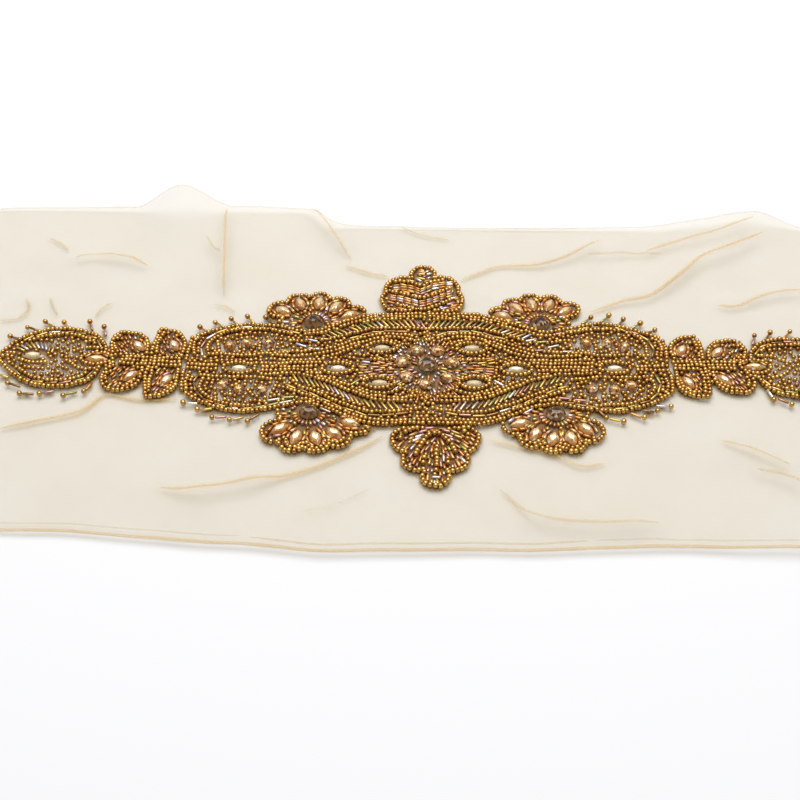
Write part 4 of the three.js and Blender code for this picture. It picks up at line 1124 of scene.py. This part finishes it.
# ---- Stones --------------------------------------------------------------------------------
# Sew-on stones of cut glass, with painted sparkle: peach and milky pointed ovals, the milky ones
# with a dark spot near each end, where a dark thread goes through the hole and the hole's shade is
# painted in, smoky rounds with a dark flat top, partly their smoky colour and partly a painted dark
# reflection, and small champagne rounds. Seven of those ring a raised smoky one in the middle, like
# a brooch, with fans of tubes round it.
BROOCH_RING_COUNT, BROOCH_RING_RADIUS = 7, 11.5
RING_BOX, FAN_BOX, AXIS_BOX = (-18, -18, 18, 18), (-31, -21, 31, 21), (-31, -5, 31, 5)
FAN_TUBES = (4.0, 2.4)
STONE_BASE, BROOCH_BASE = 1.35, 2.6
CLEAR_STONE, EYE_STONE, LEAF_STONE = (5.3, 2.2, 2.1), (5.25, 2.4, 2.1), (4.5, 2.4, 2.1)
FLOWER_STONE, BROOCH_STONE = (4.4, 4.4, 3.4), (4.7, 4.7, 3.2)
LOBE_STONE, RING_STONE = (LOBE_STONE_RADIUS, LOBE_STONE_RADIUS, 2.9), (3.5, 3.5, 2.6)
# Values for the top facets of each kind of stone, which paint light there: a high one a pale painted
# highlight, a middle one the plain heart colour, a low one painted shade, as on the lobe navettes half
# hidden among beads.
CLEAR_STONE_TOP_LIGHTING = [0.94] * 4 + [0.22] * 4  # four on the axis, four in the lobes
EYE_STONE_TOP_LIGHTING, LEAF_STONE_TOP_LIGHTING, PETAL_STONE_TOP_LIGHTING, SMOKY_TOP_LIGHTING = 0.6, 0.97, 0.88, 0.5
HOLE_ALONG, HOLE_Z, HOLE_SIZE = 3.5, 2.98, (0.42, 0.40, 0.24)
LEAF_STONE_TURN = {"inner": 62, "outer": 50}
# Colours at the rim and the heart of each glass, each partly the glass's own colour and partly painted
# light: the pale hearts stand for light thrown back through the top, the smoky heart for a dark
# reflection on its flat top.
PEACH_EDGE, PEACH_HEART = (0.55, 0.20, 0.015, 1), (1.0, 0.74, 0.36, 1)
MILKY_EDGE, MILKY_HEART = (0.46, 0.31, 0.11, 1), (0.95, 0.82, 0.54, 1)
SMOKY_EDGE, SMOKY_HEART = (0.36, 0.17, 0.04, 1), (0.035, 0.02, 0.02, 1)
CHAMPAGNE_EDGE, CHAMPAGNE_HEART = (0.50, 0.19, 0.03, 1), (0.80, 0.38, 0.09, 1)
CUTS_AROUND = 12
NAVETTE_RINGS = [(0.86, 0), (1.0, 0.32), (0.74, 0.74), (0.45, 0.98)]  # shares of outline, height
ROUND_RINGS = [(0.9, 0), (1.0, 0.35), (0.80, 0.68), (0.46, 1.0)]


def cut_stone(rings, pointed=False):
    """Faceted stone of unit half length, half width and height. Each ring is the outline at a share
    of its size, turned half a step from the ring below, joined by triangles and capped both ends."""
    n, verts, faces = CUTS_AROUND, [], []
    i = np.arange(n)
    nxt, top = (i + 1) % n, len(rings) * n
    for k, (share, height) in enumerate(rings):
        t = (i + 0.5 * (k % 2)) / n * 2 * np.pi
        across = np.sin(t) * (np.abs(np.sin(t)) if pointed else 1)
        verts.append(np.stack([share * np.cos(t), share * across, 0 * t + height], 1))
        if k < len(rings) - 1:
            a, b, c, d = k * n + i, k * n + nxt, k * n + n + i, k * n + n + nxt
            faces += [(a, b, c), (c, b, d)] if k % 2 == 0 else [(a, d, c), (a, b, d)]
    faces += [(nxt, i, 0 * i + top), (top - n + i, top - n + nxt, 0 * i + top + 1)]
    verts.append([(0, 0, 0), (0, 0, rings[-1][1] + 0.03)])
    return np.vstack(verts), np.vstack([np.stack(corners, 1) for corners in faces])


def stone_shade(name, edge, heart, deep, metallic, roughness=0.06, glint=7, flash=(1, 0.9, 0.68, 1)):
    """Foil-backed cut glass with painted sparkle: one colour at the rim and another at the heart, partly
    the glass's colour and partly painted light through it; each of the facets painted lighter or darker
    at random, and one in `glint` of them a painted pale flash, under a glossy surface."""
    shade = Shade(name, **{"Metallic": metallic, "Roughness": roughness, "Coat Weight": 0.4,
                           "Coat Roughness": 0.03})
    base = shade.mix((shade.attribute("heart") * 1.15).clamped(), edge, heart)
    facet = shade.attribute("facet")
    dark = shade.mix((facet * 2).clamped(), deep, base)
    shade.set(Base_Color=shade.mix((facet * glint * 1.5 - (glint * 1.5 - 1.5)).clamped(), dark, flash))
    return shade.material


NAVETTE_SHAPE, ROUND_SHAPE = cut_stone(NAVETTE_RINGS, pointed=True), cut_stone(ROUND_RINGS)


def stones(name, shape, size, material, slot, nodes=(), spots=None, turns=0, table=None):
    """Several like stones as one mesh, where their solids are or at spots in mm from the belt's axis,
    turned by degrees. The facets of the top have the value `table`, or one for each stone, or each
    a value of its own: a high value paints a pale highlight on the top, a low one painted shade."""
    spots = np.array([middle_of(node) for node in nodes] if spots is None else spots)
    count = len(spots)
    at = np.column_stack([spots, np.full(count, STONE_BASE)])[:, :3]
    turns = np.radians(np.broadcast_to(turns, count))
    verts, faces = copies(shape, at, np.column_stack([ray(turns), 0 * turns]), np.array([size]))
    heart = 1 - np.hypot(shape[0][:, 0], shape[0][:, 1])
    # Painted sparkle: a random value for each of the faces, lighter, darker or flashing pale.
    facet = np.random.default_rng(len(name)).uniform(0, 1, (count, len(shape[1])))
    if table is not None:
        facet[:, -CUTS_AROUND:] = np.reshape(table, (-1, 1))
    put(new_mesh(name, verts, faces, smooth=False, values=[("heart", np.tile(heart, count))],
                 face_values=[("facet", facet.ravel())]), material, slot, *nodes)


peach = stone_shade("peach glass", PEACH_EDGE, PEACH_HEART, (0.42, 0.13, 0.015, 1), 0.4)
milky = stone_shade("milky glass", MILKY_EDGE, MILKY_HEART, (0.50, 0.36, 0.16, 1), 0.0, 0.22)
smoky = stone_shade("smoky glass", SMOKY_EDGE, SMOKY_HEART, (0.05, 0.02, 0.006, 1), 0.5, glint=6,
                    flash=(0.80, 0.62, 0.42, 1))
champagne = stone_shade("champagne glass", CHAMPAGNE_EDGE, CHAMPAGNE_HEART, (0.05, 0.018, 0.004, 1),
                        0.45, glint=3.4, flash=(1, 0.80, 0.52, 1))
quarters = [(row, side) for row in ROWS for side in SIDES]
clear_nodes = [f"clear_navette_{place}_{side}" for place in ("inner", "outer", "far", "near")
               for side in SIDES]
eye_nodes = {kind: [f"eye_navette_{kind}_{side}" for side in SIDES] for kind in ("milky", "peach")}
leaf_turns = {f"leaf_navette_{place}_{row}_{side}": turn * SIDES[side] * ROWS[row]
              for place, turn in LEAF_STONE_TURN.items() for row, side in quarters}
flower_nodes = [f"flower_stone_{row}_{side}" for row, side in quarters]
lobe_spots = [Sewing(0, SIDES[side], ROWS[row]).down(spot) for spot in LOBE_STONES
              for row, side in quarters]
angle = np.arange(BROOCH_RING_COUNT) / BROOCH_RING_COUNT * 2 * np.pi - np.pi / 2
brooch = middle_of("brooch_stone")
ring_spots = brooch + BROOCH_RING_RADIUS * ray(angle)
stones("stones_clear", NAVETTE_SHAPE, CLEAR_STONE, milky, "clear_stones", clear_nodes,
       table=CLEAR_STONE_TOP_LIGHTING)
stones("stones_eye_milky", NAVETTE_SHAPE, EYE_STONE, milky, "clear_stones", eye_nodes["milky"],
       table=EYE_STONE_TOP_LIGHTING)
pierced = clear_nodes + eye_nodes["milky"]
# Dark spots at the holes: the thread, and the shade in each hole painted dark.
holes = np.array([(*middle_of(node) + (hand * HOLE_ALONG, 0), HOLE_Z) for node in pierced
                  for hand in (1, -1)])
verts, faces = copies(BEAD_SHAPE, holes, np.array([(1.0, 0, 0)]), np.array([HOLE_SIZE]))
thread = Shade("dark thread", **{"Base Color": (0.05, 0.025, 0.01, 1), "Roughness": 0.8})
put(new_mesh("stone_holes", verts, faces), thread.material, "clear_stones")
stones("stones_eye_peach", NAVETTE_SHAPE, EYE_STONE, peach, "peach_stones", eye_nodes["peach"],
       table=EYE_STONE_TOP_LIGHTING)
stones("stones_leaf", NAVETTE_SHAPE, LEAF_STONE, peach, "peach_stones", leaf_turns,
       turns=list(leaf_turns.values()), table=LEAF_STONE_TOP_LIGHTING)
stones("stones_petal", NAVETTE_SHAPE, PETAL_STONE, peach, "peach_stones", spots=petal_spots,
       turns=petal_turns, table=PETAL_STONE_TOP_LIGHTING)
stones("stones_flower", ROUND_SHAPE, FLOWER_STONE, smoky, "smoky_stones", flower_nodes,
       turns=(0, 20, 40, 10), table=SMOKY_TOP_LIGHTING)
stones("stones_lobe", ROUND_SHAPE, LOBE_STONE, champagne, "smoky_stones", spots=lobe_spots,
       turns=np.arange(len(lobe_spots)) * 17)
stones("stones_brooch_ring", ROUND_SHAPE, RING_STONE, champagne, "peach_stones", ["brooch_setting"],
       ring_spots, np.degrees(angle))
stones("stone_brooch", ROUND_SHAPE, BROOCH_STONE, smoky, "smoky_stones", ["brooch_stone"],
       [(*brooch, BROOCH_BASE)], table=SMOKY_TOP_LIGHTING)


def between(low, high):
    """Test of whether points are farther than one distance from the belt's middle and nearer than
    another."""
    return lambda at: (np.hypot(*at.T) > low) & (np.hypot(*at.T) < high)


def ring_ends(at):
    """In the two fans of tubes beyond the ends of the ring."""
    return between(15, 30)(at) & (np.abs(at[:, 1]) < 6)


def ring_sides(at):
    """In the two short fans across the belt from the ring."""
    lean = np.arctan2(at[:, 1], at[:, 0]) % np.pi - np.pi / 2
    return between(15, 20.5)(at) & (np.abs(lean) < 1.05)


sew = Sewing(5)
sew.keep(ring_spots, RING_STONE[0] - 0.2)
sew.keep(brooch[None], BROOCH_STONE[0] - 0.3)
# Short tubes tinted pale as painted glints among the ring.
sew.fill(between(5, 17), RING_BOX, 0.1, 4, (1.7,), unit, "pale_glint")
sew.fill(between(5, 17.5), RING_BOX, 1, 5, (3.0,), unit, "fan")
sew.fill(between(5, 17.5), RING_BOX, 1, 5, (1.8,), lambda at: aside(unit(at)), "fan")
for region in (ring_ends, ring_sides):
    sew.fill(region, FAN_BOX, tubes=FAN_TUBES, heading=unit, mix="fan")
sew.fill(lambda at: between(14, 30)(at) & (np.abs(at[:, 0]) > 14), AXIS_BOX, passes=3)
sewn("brooch", sew, "brooch_setting")

# The net is made denser and painted darker wherever it is sewn on, and a little way round it:
# partly the threads carried along on its underside, mostly painted shade among the beads.
CROWD_CELL, CROWD_REACH, CROWD_BLUR = 1.6, 120, np.array([1, 4, 7, 4, 1]) / 17
CROWD_FROM, CROWD_OVER = 0.36, 0.28
low = np.array([-NET_HALF_LENGTH, -CROWD_REACH])
cells = np.array([int(2 * NET_HALF_LENGTH / CROWD_CELL) + 2, int(2 * CROWD_REACH / CROWD_CELL)])
crowd, _, _ = np.histogram2d(*np.vstack(sewn_spots).T, bins=cells,
                             range=np.stack([low, low + cells * CROWD_CELL], 1))
for axis in (0, 1):
    crowd = np.apply_along_axis(lambda line: np.convolve(line, CROWD_BLUR, "same"), axis, crowd)
spot = tuple(np.clip(((place - start) / CROWD_CELL).astype(int), 0, count - 1)
             for place, start, count in zip((net_x, net_y), low, cells))
# Painted shade: from how crowded the stitches are, blurred a little past the beadwork's edges.
sewn_and_shaded = smoothstep((crowd[spot] - CROWD_FROM) / CROWD_OVER)
sewn_shade = net.data.attributes.new("sewn_shade", "FLOAT", "POINT")
sewn_shade.data.foreach_set("value", np.tile(sewn_and_shaded.ravel(), 2).astype(np.float32))

# ---- Room ----------------------------------------------------------------------------------
# A white table in a soft light tent with one wide lamp overhead, and a camera that looks down at
# 45 degrees across the near edge.
TABLE_HALF, TABLE_DROP = 3, 0.0002
CAMERA_AT, CAMERA_TILT, CAMERA_TURN, CAMERA_LENS = (-0.0035, -0.3892, 0.3629), 45, 1.3, 52.4
corners = np.array([(-1, -1, 0), (1, -1, 0), (1, 1, 0), (-1, 1, 0)]) * TABLE_HALF
floor = new_mesh("table_top", corners - (0, 0, TABLE_DROP), np.array([[0, 1, 2, 3]]))
white = Shade("white table", **{"Base Color": (0.86, 0.86, 0.86, 1), "Roughness": 0.9})
floor.data.materials.append(white.material)
lamp = bpy.data.lights.new("overhead", "AREA")
lamp.size, lamp.energy = 1.3, 18.0
holder = bpy.data.objects.new("overhead", lamp)
holder.location, holder.rotation_euler = (0, 0.4, 1.25), (-0.31, 0, 0)
bpy.context.scene.collection.objects.link(holder)
world = bpy.data.worlds.new("tent")
world.use_nodes = True
world.node_tree.nodes["Background"].inputs["Color"].default_value = (0.97, 0.98, 1.0, 1)
world.node_tree.nodes["Background"].inputs["Strength"].default_value = 0.45
bpy.context.scene.world = world
bpy.context.scene.view_settings.view_transform = "Standard"
lens = bpy.data.cameras.new("camera")
lens.lens, lens.sensor_width, lens.clip_start = CAMERA_LENS, 36.0, 0.01
camera = bpy.data.objects.new("camera", lens)
camera.location = CAMERA_AT
camera.rotation_euler = (np.radians(CAMERA_TILT), 0, np.radians(CAMERA_TURN))
bpy.context.scene.collection.objects.link(camera)
bpy.context.scene.camera = camera
